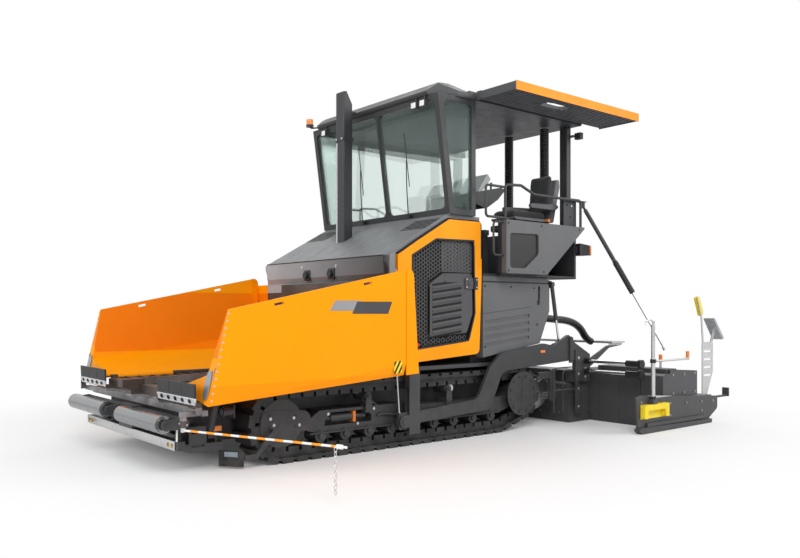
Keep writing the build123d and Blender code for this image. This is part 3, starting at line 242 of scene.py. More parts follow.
# staggered dark holes in the upper grille
def grilleMask(tree, place):
    column = times(tree, place["x"], grille["across"])
    shift = times(tree, mathOn(tree, 'FLOOR', column), 0.5)
    row = mathOn(tree, 'MULTIPLY_ADD', place["z"], grille["up"], shift)
    across, up = [mathOn(tree, 'SUBTRACT', mathOn(tree, 'FRACT', value), 0.5) for value in (column, row)]
    spot = mathOn(tree, 'ADD', times(tree, across, across), times(tree, up, up))
    return times(tree, mathOn(tree, 'LESS_THAN', spot, grille["hole"]), insideOn(tree, place, grille["field"]))


# brighter towards the machine's far side, as the bulkhead's reflection runs
def bulkheadMask(tree, place):
    fade = rangeOn(tree, place["y"], -0.95, 1.15, 1.0, 0.0)
    return times(tree, fade, insideOn(tree, place, {"x": (0.897, 1.0), "z": (1.6, 1.948)}))


def doorPaintMask(tree, place):
    around = outsideOf(tree, outlineOn(tree, place, doorHole, 0.003))
    skin = insideOn(tree, place, {"side": (1.158, 1.203)})
    latch = insideOn(tree, place, {"x": (-0.36, -0.16), "z": (1.615, 1.75)})
    return times(tree, times(tree, around, skin), outsideOf(tree, latch))


def doorEdgeMask(tree, place):
    high = insideOn(tree, place, {"z": (1.96, 2.5)})
    return times(tree, high, outsideOf(tree, outlineOn(tree, place, doorRim, -0.014)))


materials = {
    "wing": finish("wingPaintAndShade", "orange", mottle=0.02, dust=(0.4, 0.16, 0.03),
        dusty=0.12, gloss=0.12, patches=[
        # painted shade: the wings' inner faces in a deeper orange
        patchIn("paintedShadeOrange", side=(0.88, 1.505), z=(0.93, 1.6), x=(0.8, 2.93)),
        # painted shade: a slightly darker orange band along the wings' lower fold
        patchIn((0.97, 0.3, 0.0), side=(1.2, 1.54), z=(0.5, 0.775))]),
    "roller": finish("rollerSteel", (0.27, 0.275, 0.28), rough=0.22, metal=1.0, mottle=0.02, patches=[
        patchIn("dark", side=(1.165, 1.25), metal=0.2), patchIn("dark", side=(0.0, 0.075), metal=0.2)]),
    "mesh": finish("meshGrey", (0.15, 0.15, 0.155), rough=0.4),
    "door": finish("doorPaint", "dark", rough=0.45, dusty=0.05, gloss=0.2, patches=[
        patchOutline(doorHole, (0.006, 0.006, 0.006), -0.014, rough=0.8),
        patchOutline(louvrePanel, (0.085, 0.086, 0.09)),
        # painted shadow under each louvre blade
        {"mask": louvreShadowMask, "colour": (0.008, 0.008, 0.008)},
        patchIn((0.075, 0.076, 0.08), x=(-0.29, 0.155), z=(1.8, 2.145), side=(1.0, 1.18)),
        {"mask": grilleMask, "colour": (0.01, 0.01, 0.01)},
        {"mask": doorPaintMask, "colour": "orange", "rough": 0.42},
        {"mask": doorEdgeMask, "colour": "black", "rough": 0.6},
        patchIn("red", x=(0.49, 0.55), z=(1.0, 1.06), side=(1.189, 1.204), rough=0.35)]),
    "body": finish("bodyPaint", "midGrey", rough=0.4, dusty=0.18, dustTop=1.4, patches=[
        patchIn("black", x=(-1.41, -1.36), z=(1.45, 1.68), side=(1.18, 1.1995)),
        patchIn("black", x=(-1.6, -0.43), z=(1.7, 1.7175), side=(1.19, 1.201))]),
    "hood": finish("hoodPaint", "lightGrey", rough=0.38, dusty=0.1, dustTop=3.0, patches=[
        patchIn((0.045, 0.045, 0.047), x=(0.897, 1.0), z=(0.7, 1.948)),
        {"mask": bulkheadMask, "colour": (0.38, 0.39, 0.41), "rough": 0.5}] + [
        patchIn("black", x=(0.149 + 0.034 * i, 0.171 + 0.034 * i), side=(0.725, 1.15), rough=0.7)
        for i in range(7)]),
    "dark": finish("framePaint", (0.04, 0.041, 0.043), rough=0.45, dusty=0.18),
    "trackFrame": finish("trackFramePaint", (0.038, 0.038, 0.04), rough=0.45, dusty=0.18, patches=[
        patchIn("silver", x=limits, z=(0.545, 0.6), side=(0.95, 1.14), rough=0.3, metal=0.9)
        for limits in ((1.06, 1.2), (-0.03, 0.11))] + [
        patchIn("amber", x=(1.268, 1.302), z=(0.29, 0.41), side=(1.0, 1.14))]),
    "roof": finish("roofShell", (0.062, 0.064, 0.067), dusty=0.05, dustTop=6.0, mottle=0.04, patches=[
        patchIn("dark", z=(3.69, 3.722))]),
    "canopy": finish("canopyShell", "grey", rough=0.45, dusty=0.03, dustTop=6.0, mottle=0.04, patches=[
        patchIn((1.0, 0.3, 0.0), side=(1.7985, 1.81), x=(-2.6, -0.2), rough=0.4)], gloss=0.2),
    "deck": finish("deckPaint", "dark", dustTop=3.0, dusty=0.08, patches=[
        patchIn("midGrey", side=(1.33, 1.41), x=(-2.1, -0.5)),
        patchIn("black", x=(-2.24, -1.998), side=(1.17, 1.34), z=(2.055, 2.22))]),
    "stack": finish("stackPaintAndHighlight", "dark", rough=0.38, patches=[
        # painted highlight: a narrow silver-lit strip down the stack's front edge
        patchIn((0.55, 0.55, 0.56), x=(0.485, 0.51), y=(-0.312, -0.272), z=(2.0, 3.36), rough=0.25, metal=0.8)]),
    "frameGrey": finish("screenFramePaint", (0.028, 0.029, 0.031), rough=0.4),
    "console": finish("consoleShell", (0.035, 0.036, 0.038), rough=0.45, patches=[
        patchIn((0.36, 0.365, 0.37), x=(-0.965, -0.735), z=(2.757, 3.02), side=(0.47, 0.83), rough=0.35)]),
    "chassis": finish("chassisPaint", (0.05, 0.051, 0.054), rough=0.45, dusty=0.1),
    "screed": finish("screedPaint", (0.062, 0.063, 0.066), dusty=0.1, patches=[
        patchIn("silver", z=(0.93, 0.99), rough=0.4, metal=0.7)]),
    "gate": finish("endGatePaint", (0.055, 0.056, 0.058), dusty=0.1, patches=[
        patchIn("yellow", x=(-2.35, -1.85), z=(0.16, 0.3235), side=(1.2, 2.35)),
        patchIn("silver", x=(-2.8, -2.0), z=(0.385, 1.3), rough=0.3, metal=0.9)]),
    "controls": finish("controlStandPaint", "silver", rough=0.4, metal=0.6, dusty=0.05, patches=[
        patchIn("yellow", x=(-3.6, -3.1), z=(1.285, 1.6), side=(2.1, 2.181), rough=0.4, metal=0.0),
        patchIn((0.42, 0.43, 0.44), x=(-3.8, -3.5), z=(1.0, 1.3), side=(2.05, 2.24), metal=0.3)]),
    "track": finish("trackSteel", (0.03, 0.03, 0.031), rough=0.4, metal=0.35, mottle=0.25, dusty=0.2, dustTop=0.9,
        grain=(30.0, 0.3, 0.004)),
    "steel": finish("wornSteel", "steel", rough=0.3, metal=0.9, mottle=0.2, dust=(0.1, 0.06, 0.035), dusty=0.2,
        dustTop=1.2),
    "floorSteel": finish("conveyorSteel", (0.1, 0.085, 0.075), metal=0.6, mottle=0.4,
        dust=(0.1, 0.05, 0.03), dusty=0.5, dustTop=1.5, patches=[
        patchIn((0.3, 0.3, 0.31), x=(2.962, 3.2), z=(0.5, 0.6), rough=0.35, metal=0.4)]),
    "chrome": finish("rodChrome", (0.75, 0.75, 0.76), rough=0.1, metal=1.0, mottle=0.02),
    "silver": finish("platedSteel", "silver", rough=0.28, metal=0.9, dusty=0.05),
    "brass": finish("brassPlating", (0.62, 0.48, 0.2), rough=0.32, metal=0.9, mottle=0.1),
    "rubber": finish("blackRubber", (0.016, 0.016, 0.017), rough=0.58, mottle=0.2, dusty=0.3,
        grain=(110.0, 0.2, 0.0015)),
    "apron": finish("apronRubber", (0.016, 0.016, 0.017), rough=0.5, mottle=0.2, dusty=0.2, patches=[
        patchIn((0.72, 0.73, 0.74), x=(3.06, 3.1), z=(0.615, 0.675), rough=0.35, metal=0.3)]),
    "hoseGloss": finish("hoseGloss", (0.012, 0.012, 0.013), rough=0.22, mottle=0.1, dusty=0.05),
    "shell": finish("seatShell", (0.13, 0.13, 0.14), rough=0.5),
    "black": finish("blackPlastic", (0.014, 0.014, 0.015), rough=0.35, mottle=0.05, dusty=0.05),
    "white": finish("whiteLens", "white", rough=0.25, mottle=0.02),
    "plateLight": finish("plateLight", (0.33, 0.33, 0.34), rough=0.35, metal=0.4, mottle=0.04),
    "plateDark": finish("plateDark", (0.055, 0.055, 0.06), rough=0.35, mottle=0.04),
    "blueGrey": finish("zincPlate", "blueGrey", rough=0.35, metal=0.7, mottle=0.1, dusty=0.1),
    "amber": finish("amberLens", "amber", rough=0.2, mottle=0.02, coat=0.5),
    "red": finish("redButton", "red", rough=0.3, mottle=0.02),
    "guide": finish("guideRodPaint", "white", rough=0.35, mottle=0.03, patches=[
        {"mask": stripesOn((3.158, 1.363, 0.423), (2.604, 2.839, 0.423), 0.17), "colour": "orange"}]),
    "hazard": finish("hazardStripes", "yellow", rough=0.4, mottle=0.03, patches=[
        {"mask": stripesOn((1.0, 0, 0.8), (1.05, 0, 0.83), 0.045), "colour": "black"}]),
}


def clothFinish(name, colour):
    mat, tree, bsdf = startMaterial(name)
    weave, across = [nodeOn(tree, 'TexWave', {'Scale': 130, 'Vector': objectCoords(tree)}) for i in range(2)]
    across.bands_direction = 'Y'
    thread = times(tree, weave.outputs['Fac'], across.outputs['Fac'])
    light = tuple(c * 1.8 for c in colour)
    fillNode(tree, bsdf, {'Base Color': mixOn(tree, thread, colour, light), 'Roughness': 0.88, 'Sheen Weight': 0.3})
    bumpOn(tree, bsdf, thread, 0.35, 0.001)
    return mat


def glassFinish(name, tint):
    mat, tree, bsdf = startMaterial(name)
    haze = noiseOn(tree, objectCoords(tree), 3.0, 4.0)
    fillNode(tree, bsdf, {'Base Color': mixOn(tree, haze, tint, tuple(c * 0.9 for c in tint)), 'Roughness': 0.04,
            'Transmission Weight': 0.9, 'IOR': 1.12, 'Alpha': 0.5})
    return mat


materials["cloth"] = clothFinish("seatCloth", (0.012, 0.012, 0.013))
materials["glass"] = glassFinish("paneGlass", (0.55, 0.72, 0.66))

finishes = {
    "frame_dark": "dark", "body_grey": "body", "hood_grey": "hood", "hopper_orange": "wing", "worn_steel": "steel",
    "track_steel": "track", "screed_grey": "screed", "rubber": "rubber", "glass": "glass", "roof_grey": "roof",
    "seat_fabric": "cloth", "seat_shell": "shell", "hose": "rubber", "chrome_rod": "chrome",
}
ownFinish = {
    "engine_door": "door", "canopy_wing": "canopy", "platform": "deck", "exhaust_stack": "stack", "end_gate": "gate",
    "windscreen_frame": "frameGrey", "screed_controls": "controls", "track_frames": "trackFrame", "apron": "apron",
    "hopper_floor": "floorSteel", "conveyor_slats": "floorSteel", "steering_guide": "guide", "push_roller": "roller",
    "console": "console", "chassis": "chassis",
}
slotOf = {s["node"]: s["material_slot"] for s in frame["record"]["subparts"]}
dict.fromkeys(("wing", "hazard", "guide", "amber", "red"), "hopper_orange")
dict.fromkeys(("silver", "brass", "steel", "plateLight", "blueGrey"), "worn_steel")
for name, obj in nodes.items():
    plain = name.removesuffix("_left").removesuffix("_right")
    mat = materials[ownFinish.get(plain, finishes[slotOf[name]])]
    if not obj.material_slots:
        obj.data.materials.append(mat)
    for place in obj.material_slots:
        place.material = mat
print("stage: materials on CAD nodes")


# modelling helpers
def clearSelection():
    if bpy.context.mode != 'OBJECT':
        bpy.ops.object.mode_set(mode='OBJECT')
    bpy.ops.object.select_all(action='DESELECT')


def activate(piece):
    clearSelection()
    piece.select_set(True)
    bpy.context.view_layer.objects.active = piece


# turns a piece's placing into its mesh
def settle(piece):
    activate(piece)
    bpy.ops.object.transform_apply(location=True, rotation=True, scale=True)


def editAll():
    bpy.ops.object.mode_set(mode='EDIT')
    bpy.ops.mesh.select_all(action='SELECT')


def leaveEdit():
    bpy.ops.object.mode_set(mode='OBJECT')


# names a piece and gives it its finish
def dressPiece(piece, name, look, angle=35):
    settle(piece)
    bpy.ops.object.shade_smooth_by_angle(angle=math.radians(angle))
    piece.name = name
    piece.data.name = name
    piece.data.materials.clear()
    piece.data.materials.append(materials[look])
    return piece


def closePiece(piece, name, look, body="tractor", angle=35):
    dressPiece(piece, name, look, angle)
    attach(piece, body)
    return piece


# the points of a route's own spline, read back from a curve with no bevel
def splinePoints(points):
    bare = rawCurve(points)
    mesh = bpy.data.meshes.new_from_object(bare.evaluated_get(bpy.context.evaluated_depsgraph_get()))
    line = [tuple(vertex.co) for vertex in mesh.vertices]
    bpy.data.meshes.remove(mesh)
    bpy.data.objects.remove(bare)
    return line


# joins pieces into the first one
def mergeAll(pieces):
    clearSelection()
    for piece in pieces:
        piece.select_set(True)
    bpy.context.view_layer.objects.active = pieces[0]
    if len(pieces) > 1:
        bpy.ops.object.join()
    return bpy.context.object


def twinOf(piece):
    activate(piece)
    bpy.ops.object.duplicate(linked=False)
    return bpy.context.object


def copyTo(piece, offset):
    twin = twinOf(piece)
    bpy.ops.transform.translate(value=offset)
    return twin


# a copy on the machine's other side
def mirrorOf(piece, name, body):
    twin = twinOf(piece)
    twin.scale = (1, -1, 1)
    bpy.ops.object.transform_apply(location=True, rotation=True, scale=True)
    editAll()
    bpy.ops.mesh.normals_make_consistent(inside=False)
    leaveEdit()
    twin.name = name
    twin.data.name = name
    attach(twin, body)
    return twin


def shapedBy(piece, kind, **settings):
    modifier = piece.modifiers.new(kind, kind)
    for key, value in settings.items():
        setattr(modifier, key, value)
    bpy.ops.object.modifier_apply(modifier=kind)


# copies of a piece in a row, a step apart
def repeatOf(piece, step, count, weld=False):
    shapedBy(piece, 'ARRAY', use_relative_offset=False, use_constant_offset=True, constant_offset_displace=step,
            count=count, use_merge_vertices=weld, merge_threshold=0.001)


# a box with rounded edges, not yet named
def rawBox(low, high, edge=0.003, segments=2):
    clearSelection()
    middle = [(a + b) / 2 for a, b in zip(low, high)]
    bpy.ops.mesh.primitive_cube_add(size=1, location=middle)
    piece = bpy.context.object
    piece.scale = [abs(b - a) for a, b in zip(low, high)]
    bpy.ops.object.transform_apply(location=False, rotation=False, scale=True)
    editAll()
    bpy.ops.mesh.bevel(offset=edge, segments=segments, affect='EDGES')
    leaveEdit()
    return piece


# a round bar; its caps get a ring of faces, apart from the first bar's, made before face mode is on
def rawRound(start, end, radius, sides=24, edge=0.002):
    clearSelection()
    start, end = Vector(start), Vector(end)
    line = end - start
    bpy.ops.mesh.primitive_cylinder_add(vertices=sides, radius=radius, depth=line.length, location=(start + end) / 2,
            rotation=line.to_track_quat('Z', 'Y').to_euler())
    piece = bpy.context.object
    bpy.ops.object.mode_set(mode='EDIT')
    bpy.ops.mesh.select_all(action='DESELECT')
    leaveEdit()
    for face in piece.data.polygons:
        face.select = abs(face.normal.z) > 0.9
    bpy.ops.object.mode_set(mode='EDIT')
    bpy.ops.mesh.select_mode(type='FACE')
    bpy.ops.mesh.inset(thickness=edge)
    leaveEdit()
    return piece


# a plate with the given outline; axis is the one it is thick along
def rawPlate(corners, axis, low, high, edge=0.0015):
    clearSelection()
    bpy.ops.mesh.primitive_circle_add(vertices=len(corners), fill_type='NGON')
    piece = bpy.context.object
    order = {"x": (1, 2, 0), "y": (0, 2, 1), "z": (0, 1, 2)}[axis]
    for vert, (a, b) in zip(piece.data.vertices, corners):
        spot = [0, 0, 0]
        spot[order[0]], spot[order[1]], spot[order[2]] = a, b, low
        vert.co = spot
    move = [0, 0, 0]
    move[order[2]] = high - low
    editAll()
    bpy.ops.mesh.extrude_region_move(TRANSFORM_OT_translate={"value": move})
    bpy.ops.mesh.select_all(action='SELECT')
    bpy.ops.mesh.normals_make_consistent(inside=False)
    if edge:
        bpy.ops.mesh.bevel(offset=edge, segments=1, affect='EDGES')
    leaveEdit()
    return piece


# a bare curve along the points
def rawCurve(points, straight=False):
    clearSelection()
    curve = bpy.data.curves.new("tubeLine", 'CURVE')
    curve.dimensions = '3D'
    spline = curve.splines.new('POLY' if straight else 'NURBS')
    spline.points.add(len(points) - 1)
    for point, spot in zip(spline.points, points):
        point.co = (*spot, 1)
    if not straight:
        spline.order_u = 3
        spline.use_endpoint_u = True
    curve.resolution_u = 10
    piece = bpy.data.objects.new("tube", curve)
    scene.collection.objects.link(piece)
    return piece


# a bent tube along points, as a mesh
def rawTube(points, radius, sides=6, straight=False):
    piece = rawCurve(points, straight)
    piece.data.bevel_depth = radius
    piece.data.bevel_resolution = sides
    piece.data.use_fill_caps = True
    activate(piece)
    bpy.ops.object.convert(target='MESH')
    return bpy.context.object


# hexagon bolts with washers at the spots, standing out along axis
def rawBolts(spots, axis, radius=0.011, height=0.008):
    axis = Vector(axis).normalized()
    first = Vector(spots[0])
    washer = rawRound(first, first + axis * 0.003, radius * 1.45, 16, 0.001)
    head = rawRound(first + axis * 0.002, first + axis * height, radius, 6, radius * 0.18)
    bolt = mergeAll([washer, head])
    row = [bolt]
    for spot in spots[1:]:
        row.append(copyTo(bolt, Vector(spot) - first))
    return mergeAll(row)


def along(start, end, count):
    start, end = Vector(start), Vector(end)
    return [tuple(start.lerp(end, i / max(1, count - 1))) for i in range(count)]


# names a left piece, and makes its twin on the right where the body has one
def bothSides(piece, name, look, body="tractor", angle=35):
    left = closePiece(piece, name + "Left", look, body, angle)
    mirrorOf(left, name + "Right", body.replace("left", "right"))


# bolts that stand out to the left, and their twins
def sideBolts(spots, radius, height, name, look, body="tractor"):
    bothSides(rawBolts(spots, (0, 1, 0), radius, height), name, look, body)


# hopper wings: edge bolts, bare plates, hazard label
face = 1.53
wingEdge = {"low": (3.006, 0.66), "high": (2.855, 1.36), "inset": 0.012, "bolts": 13}
start, end = [(wingEdge[key][0] - wingEdge["inset"], face, wingEdge[key][1]) for key in ("low", "high")]
sideBolts(along(start, end, wingEdge["bolts"]), 0.006, 0.005, "wingEdgeBolts", "silver", "wing_left")
bothSides(rawPlate([(1.79, 1.476), (1.5, 1.478), (1.556, 1.384), (1.85, 1.384)], "y", face, face + 0.003),
        "wingPlateLight", "plateLight", "wing_left")
bothSides(rawPlate([(1.545, 1.468), (1.132, 1.47), (1.181, 1.355), (1.6, 1.357)], "y", face, face + 0.005),
        "wingPlateDark", "plateDark", "wing_left")
bothSides(rawPlate([(1.105, 0.898), (1.01, 0.905), (1.01, 0.79), (1.105, 0.782)], "y", face, face + 0.002, 0),
        "wingHazardLabel", "hazard", "wing_left")
lock = [(2.985, 0.7), (2.965, 0.68), (2.945, 0.7), (2.925, 0.9), (2.945, 0.94), (2.965, 0.9)]
bothSides(rawPlate(lock, "y", 1.506, 1.512), "wingLockPlate", "blueGrey", "wing_left")
frontPlate = rawPlate([(1.425, -0.02), (1.47, -0.02), (1.492, 0.03), (1.492, 0.17), (1.47, 0.22), (1.425, 0.22),
        (1.4, 0.16), (1.4, 0.04)], "x", 0.0, 0.006)
frontPlate.rotation_euler = (0, math.radians(-12.2), 0)
frontPlate.location = (3.008, 0, 0.68)
bothSides(frontPlate, "wingFrontPlate", "blueGrey", "wing_left")
hinge = {"y": 0.832, "z": 0.704, "radius": 0.03}
for name, look, start, end in (("wingHingeSleeve", "wing", 2.86, 2.3), ("wingHingeTube", "rubber", 2.295, 1.3)):
    tube = rawRound((start, hinge["y"], hinge["z"]), (end, hinge["y"], hinge["z"]), hinge["radius"], 24, 0.004)
    bothSides(tube, name, look, "wing_left")
print("stage: wings")

# aprons: bolts along the steel strip
apronTrim = {"height": 0.648, "out": 3.083, "from": 0.76, "to": 1.32, "bolts": 5}
start, end = [(apronTrim["out"], apronTrim[key], apronTrim["height"]) for key in ("from", "to")]
spots = along(start, end, apronTrim["bolts"])
bothSides(rawBolts(spots, (1, 0, -0.3), 0.014, 0.01), "apronBolts", "black", "apron_left")

# push beam and the front of the frame
beam = {"front": 3.1, "low": 0.212, "high": 0.292, "half": 1.08}
bar = rawBox((beam["front"], -beam["half"], beam["low"]), (beam["front"] + 0.012, beam["half"], beam["high"]), 0.004)
closePiece(bar, "pushBeamFacing", "silver", "push_beam")
spots = [(3.112, s * y, 0.252) for s in (1, -1) for y in (1.04, 0.96)]
closePiece(rawBolts(spots, (1, 0, 0), 0.014, 0.012), "pushBeamBolts", "brass", "push_beam")
caps = []
for s in (1, -1):
    caps.append(rawRound((3.224, s * 1.19, 0.445), (3.224, s * 1.2, 0.445), 0.045, 28, 0.006))
    caps.append(rawRound((3.224, s * 1.199, 0.445), (3.224, s * 1.208, 0.445), 0.016, 6, 0.003))
closePiece(mergeAll(caps), "pushRollerCaps", "dark", "push_beam")
x, y, z = 2.7, 1.13, 0.51
for side, s in (("Left", 1), ("Right", -1)):
    ring = rawRound((x, s * y, z), (x + 0.006, s * y, z), 0.044, 32, 0.006)
    closePiece(ring, "frontLampRim" + side, "black")
    glass = rawRound((x + 0.005, s * y, z), (x + 0.009, s * y, z), 0.03, 28, 0.008)
    closePiece(glass, "frontLampLens" + side, "blueGrey")
    tag = rawBox((2.66, s * 1.044, 0.335), (2.745, s * 1.0475, 0.38), 0.0012)
    closePiece(tag, "frontReflector" + side, "amber")
post = rawTube([(3.118, 1.15, 0.3), (3.118, 1.15, 0.44), (3.112, 1.18, 0.458), (3.112, 1.33, 0.458)], 0.008)
closePiece(post, "guidePost", "white", "push_beam")
print("stage: front")

# steering guide: striped rod, hub, clamp and hanging chain
guide = {"hub": (3.158, 1.363, 0.423), "tip": (2.604, 2.839, 0.423), "radius": 0.009, "chainAt": (2.642, 2.756),
        "chainTop": 0.412, "chainLow": 0.056, "link": 0.0115, "wire": 0.0028}
hub, tip = Vector(guide["hub"]), Vector(guide["tip"])
way = (tip - hub).normalized()
rod = rawRound(hub + way * 0.02, tip, guide["radius"], 20, 0.003)
guideRod = closePiece(rod, "guideRod", "guide", "steering_guide")
collar = rawRound(hub - Vector((0, 0, 0.014)), hub + Vector((0, 0, 0.02)), 0.02, 24, 0.003)
closePiece(collar, "guideHub", "silver", "steering_guide")
clampMid = hub + way * 1.492
clampPiece = rawRound(clampMid, clampMid + way * 0.05, 0.017, 6, 0.003)
closePiece(clampPiece, "guideClamp", "white", "steering_guide")
x, y = guide["chainAt"]
pitch = guide["link"] * 2.9


def chainLink(z, turn):
    clearSelection()
    bpy.ops.mesh.primitive_torus_add(major_segments=16, minor_segments=6, major_radius=guide["link"],
            minor_radius=guide["wire"], location=(x, y, z), rotation=turn)
    piece = bpy.context.object
    editAll()
    bpy.ops.transform.resize(value=(1, 1, 1.7))
    leaveEdit()
    bpy.ops.object.transform_apply(location=False, rotation=True, scale=True)
    return piece


link = chainLink(guide["chainTop"] - guide["link"], (math.radians(90), 0, 0))
turned = chainLink(guide["chainTop"] - guide["link"] - pitch, (0, math.radians(90), 0))
links = [link, turned]
pairs = int((guide["chainTop"] - guide["chainLow"]) / (2 * pitch))
for i in range(1, pairs):
    links.append(copyTo(link, (0, 0, -2 * pitch * i)))
    links.append(copyTo(turned, (0, 0, -2 * pitch * i)))
closePiece(mergeAll(links), "guideChain", "silver", "steering_guide", 60)
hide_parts("steering_guide")
print("stage: steering guide")

# mudflaps: zinc plate with two bolts
flap = {"middle": (2.592, 1.101), "turn": math.atan2(1.198 - 1.0, 2.524 - 2.66), "width": 0.13,
        "low": 0.105, "high": 0.15}
tag = rawBox((-flap["width"] / 2, -0.002, flap["low"]), (flap["width"] / 2, 0.003, flap["high"]), 0.0015)
bolts = rawBolts([(-0.04, 0.003, 0.1275), (0.04, 0.003, 0.1275)], (0, 1, 0), 0.007, 0.007)
tag = mergeAll([tag, bolts])
settle(tag)
tag.rotation_euler = (0, 0, flap["turn"] + math.pi)
tag.location = (flap["middle"][0] + 0.0088, flap["middle"][1] + 0.006, 0)
bothSides(tag, "mudflapPlate", "blueGrey")

# tracks' frame: bolts on the cover disc and the front plate
drive = {"x": -1.081, "z": 0.42, "ring": 0.205, "face": 1.216, "count": 12}
spots = []
for i in range(drive["count"]):
    turn = 2 * math.pi * (i + 0.5) / drive["count"]
    x, z = drive["x"] + drive["ring"] * math.cos(turn), drive["z"] + drive["ring"] * math.sin(turn)
    spots.append((x, drive["face"], z))
sideBolts(spots, 0.012, 0.01, "driveCoverBolts", "dark")
spots = [(2.235, 1.154, 0.41), (2.2, 1.154, 0.35), (1.99, 1.154, 0.4), (1.93, 1.154, 0.33), (1.6, 1.14, 0.4),
        (1.05, 1.14, 0.41), (0.65, 1.14, 0.3), (-0.55, 1.14, 0.3), (0.2, 1.14, 0.3), (1.25, 1.14, 0.28)]
sideBolts(spots, 0.01, 0.009, "trackFrameBolts", "silver")
hose = [rawTube([(1.02, 1.155, 0.34), (0.95, 1.165, 0.36), (0.8, 1.165, 0.33), (0.6, 1.165, 0.31), (0.3, 1.165, 0.32),
        (0.1, 1.15, 0.3)], 0.01),
        rawTube([(1.18, 1.1, 0.44), (1.1, 1.12, 0.5), (0.98, 1.12, 0.43), (0.94, 1.135, 0.36)], 0.012)]
bothSides(mergeAll(hose), "trackFramePipes", "dark", angle=60)
discs = []
for x, z in ((1.129, 0.52), (-0.01, 0.545)):
    discs.append(rawRound((x, 1.085, z), (x, 1.125, z), 0.042, 28, 0.006))
    discs.append(rawRound((x, 1.124, z), (x, 1.14, z), 0.014, 6, 0.003))
bothSides(mergeAll(discs), "carrierDiscs", "silver")
rodPiece = rawRound((0.831, 1.238, 0.722), (0.801, 1.238, 0.354), 0.008, 16)
eyes = [rawRound((0.801, 1.226, 0.345), (0.801, 1.25, 0.345), 0.015, 16),
        rawRound((0.831, 1.2, 0.73), (0.831, 1.248, 0.73), 0.012, 12)]
bothSides(mergeAll([rodPiece] + eyes), "towPointRod", "silver")
print("stage: undercarriage")

# engine doors: honeycomb mesh, latch bolts, stop button
mesh = {"face": 1.1735, "cell": 0.024, "wall": 0.0034, "deep": 0.004, "panel": [
    (0.175, 1.8), (0.362, 1.684), (0.362, 1.088), (-0.205, 1.128), (-0.3, 1.35), (-0.285, 1.805)]}


def insideOutline(x, z, corners, room):
    return min(x * nx + z * nz + offset for nx, nz, offset in sidesOf(corners)) > room


clearSelection()
bpy.ops.mesh.primitive_circle_add(vertices=6, radius=mesh["cell"], fill_type='NGON', location=(0, mesh["face"], 0),
        rotation=(math.radians(90), 0, 0))
cell = bpy.context.object
editAll()
bpy.ops.mesh.inset(thickness=mesh["wall"])
bpy.ops.mesh.delete(type='FACE')
bpy.ops.mesh.select_all(action='SELECT')
bpy.ops.mesh.extrude_region_move(TRANSFORM_OT_translate={"value": (0, -mesh["deep"], 0)})
leaveEdit()
stepX, stepZ = mesh["cell"] * 1.5, mesh["cell"] * math.sqrt(3)
cells = []
for column in range(-22, 42):
    for row in range(40):
        x = column * stepX * 0.98
        z = 0.95 + row * stepZ * 0.98 + (stepZ * 0.49 if column % 2 else 0)
        if insideOutline(x, z, doorHole, 0.026) and not insideOutline(x, z, mesh["panel"], -0.018):
            cells.append((x, z))
meshCopies = []
for x, z in cells:
    twin = bpy.data.objects.new("cell", cell.data.copy())
    twin.matrix_world = cell.matrix_world.copy()
    twin.location = (x, mesh["face"], z)
    scene.collection.objects.link(twin)
    meshCopies.append(twin)
bpy.data.objects.remove(cell)
bothSides(mergeAll(meshCopies), "doorHoneycomb", "mesh", "door_left")
spots = [(x, 1.206, z) for x in (-0.182, -0.335) for z in (1.64, 1.725)]
sideBolts(spots, 0.006, 0.005, "doorLatchBolts", "silver", "door_left")
button = rawRound((0.52, 1.2, 1.03), (0.52, 1.208, 1.03), 0.018, 24, 0.004)
bothSides(button, "doorStopButton", "red", "door_left")
grid = rawBolts([(x, 1.19, z) for x in (-0.25, 0.13) for z in (1.765, 1.7)], (0, 1, 0), 0.006, 0.004)
bothSides(grid, "doorPanelBolts", "black", "door_left")
print("stage: doors", len(cells), "mesh cells")

# hood: seams, knobs, bolts
knobs = [(0.94, 0.243, 1.788), (0.94, -0.242, 1.784)]
pieces = []
for x, y, z in knobs:
    pieces.append(rawBox((x - 0.006, y - 0.06, z - 0.06), (x + 0.012, y + 0.06, z + 0.06), 0.006))
    pieces.append(rawRound((x + 0.011, y, z), (x + 0.04, y, z), 0.038, 20, 0.008))
closePiece(mergeAll(pieces), "bulkheadKnobs", "black")
spots = [(0.938, -0.352, 1.877), (0.938, 0.328, 1.87), (0.9, -0.72, 1.68), (0.9, 0.72, 1.68),
        (0.9, 0.3, 1.655), (0.9, -0.3, 1.65)]
closePiece(rawBolts(spots, (1, 0, 0), 0.013, 0.01), "bulkheadBolts", "silver")
bead = rawTube([(0.938, -1.15, 1.945), (0.938, 0, 1.945), (0.938, 1.15, 1.945)], 0.007, straight=True, sides=3)
closePiece(bead, "hoodSeal", "black", angle=60)
print("stage: hood")

# windscreen: wipers
screen = {"foot": Vector((0.06, 0, 2.425)), "head": Vector((0.235, 0, 3.7))}
lean = (screen["head"] - screen["foot"]).normalized()
outward = Vector((lean.z, 0, -lean.x))


def onScreen(y, up, out):
    spot = screen["foot"] + lean * up + outward * out
    return Vector((spot.x, y, spot.z))


wipers = []
for y, reach in ((0.56, 0.66), (-0.3, 0.66)):
    wipers.append(rawRound(onScreen(y, 0.03, 0.0), onScreen(y, 0.03, 0.045), 0.02, 20, 0.004))
    arm = [onScreen(y, 0.03, 0.04), onScreen(y + 0.01, 0.35, 0.04), onScreen(y + 0.03, reach, 0.012)]
    wipers.append(rawTube(arm, 0.006))
    blade = rawBox((-0.004, -0.004, -0.3), (0.004, 0.004, 0.3), 0.002)
    blade.rotation_euler = (0, math.atan2(lean.x, lean.z), 0)
    blade.location = onScreen(y + 0.03, reach, 0.006)
    settle(blade)
    wipers.append(blade)
closePiece(mergeAll(wipers), "wipers", "black")

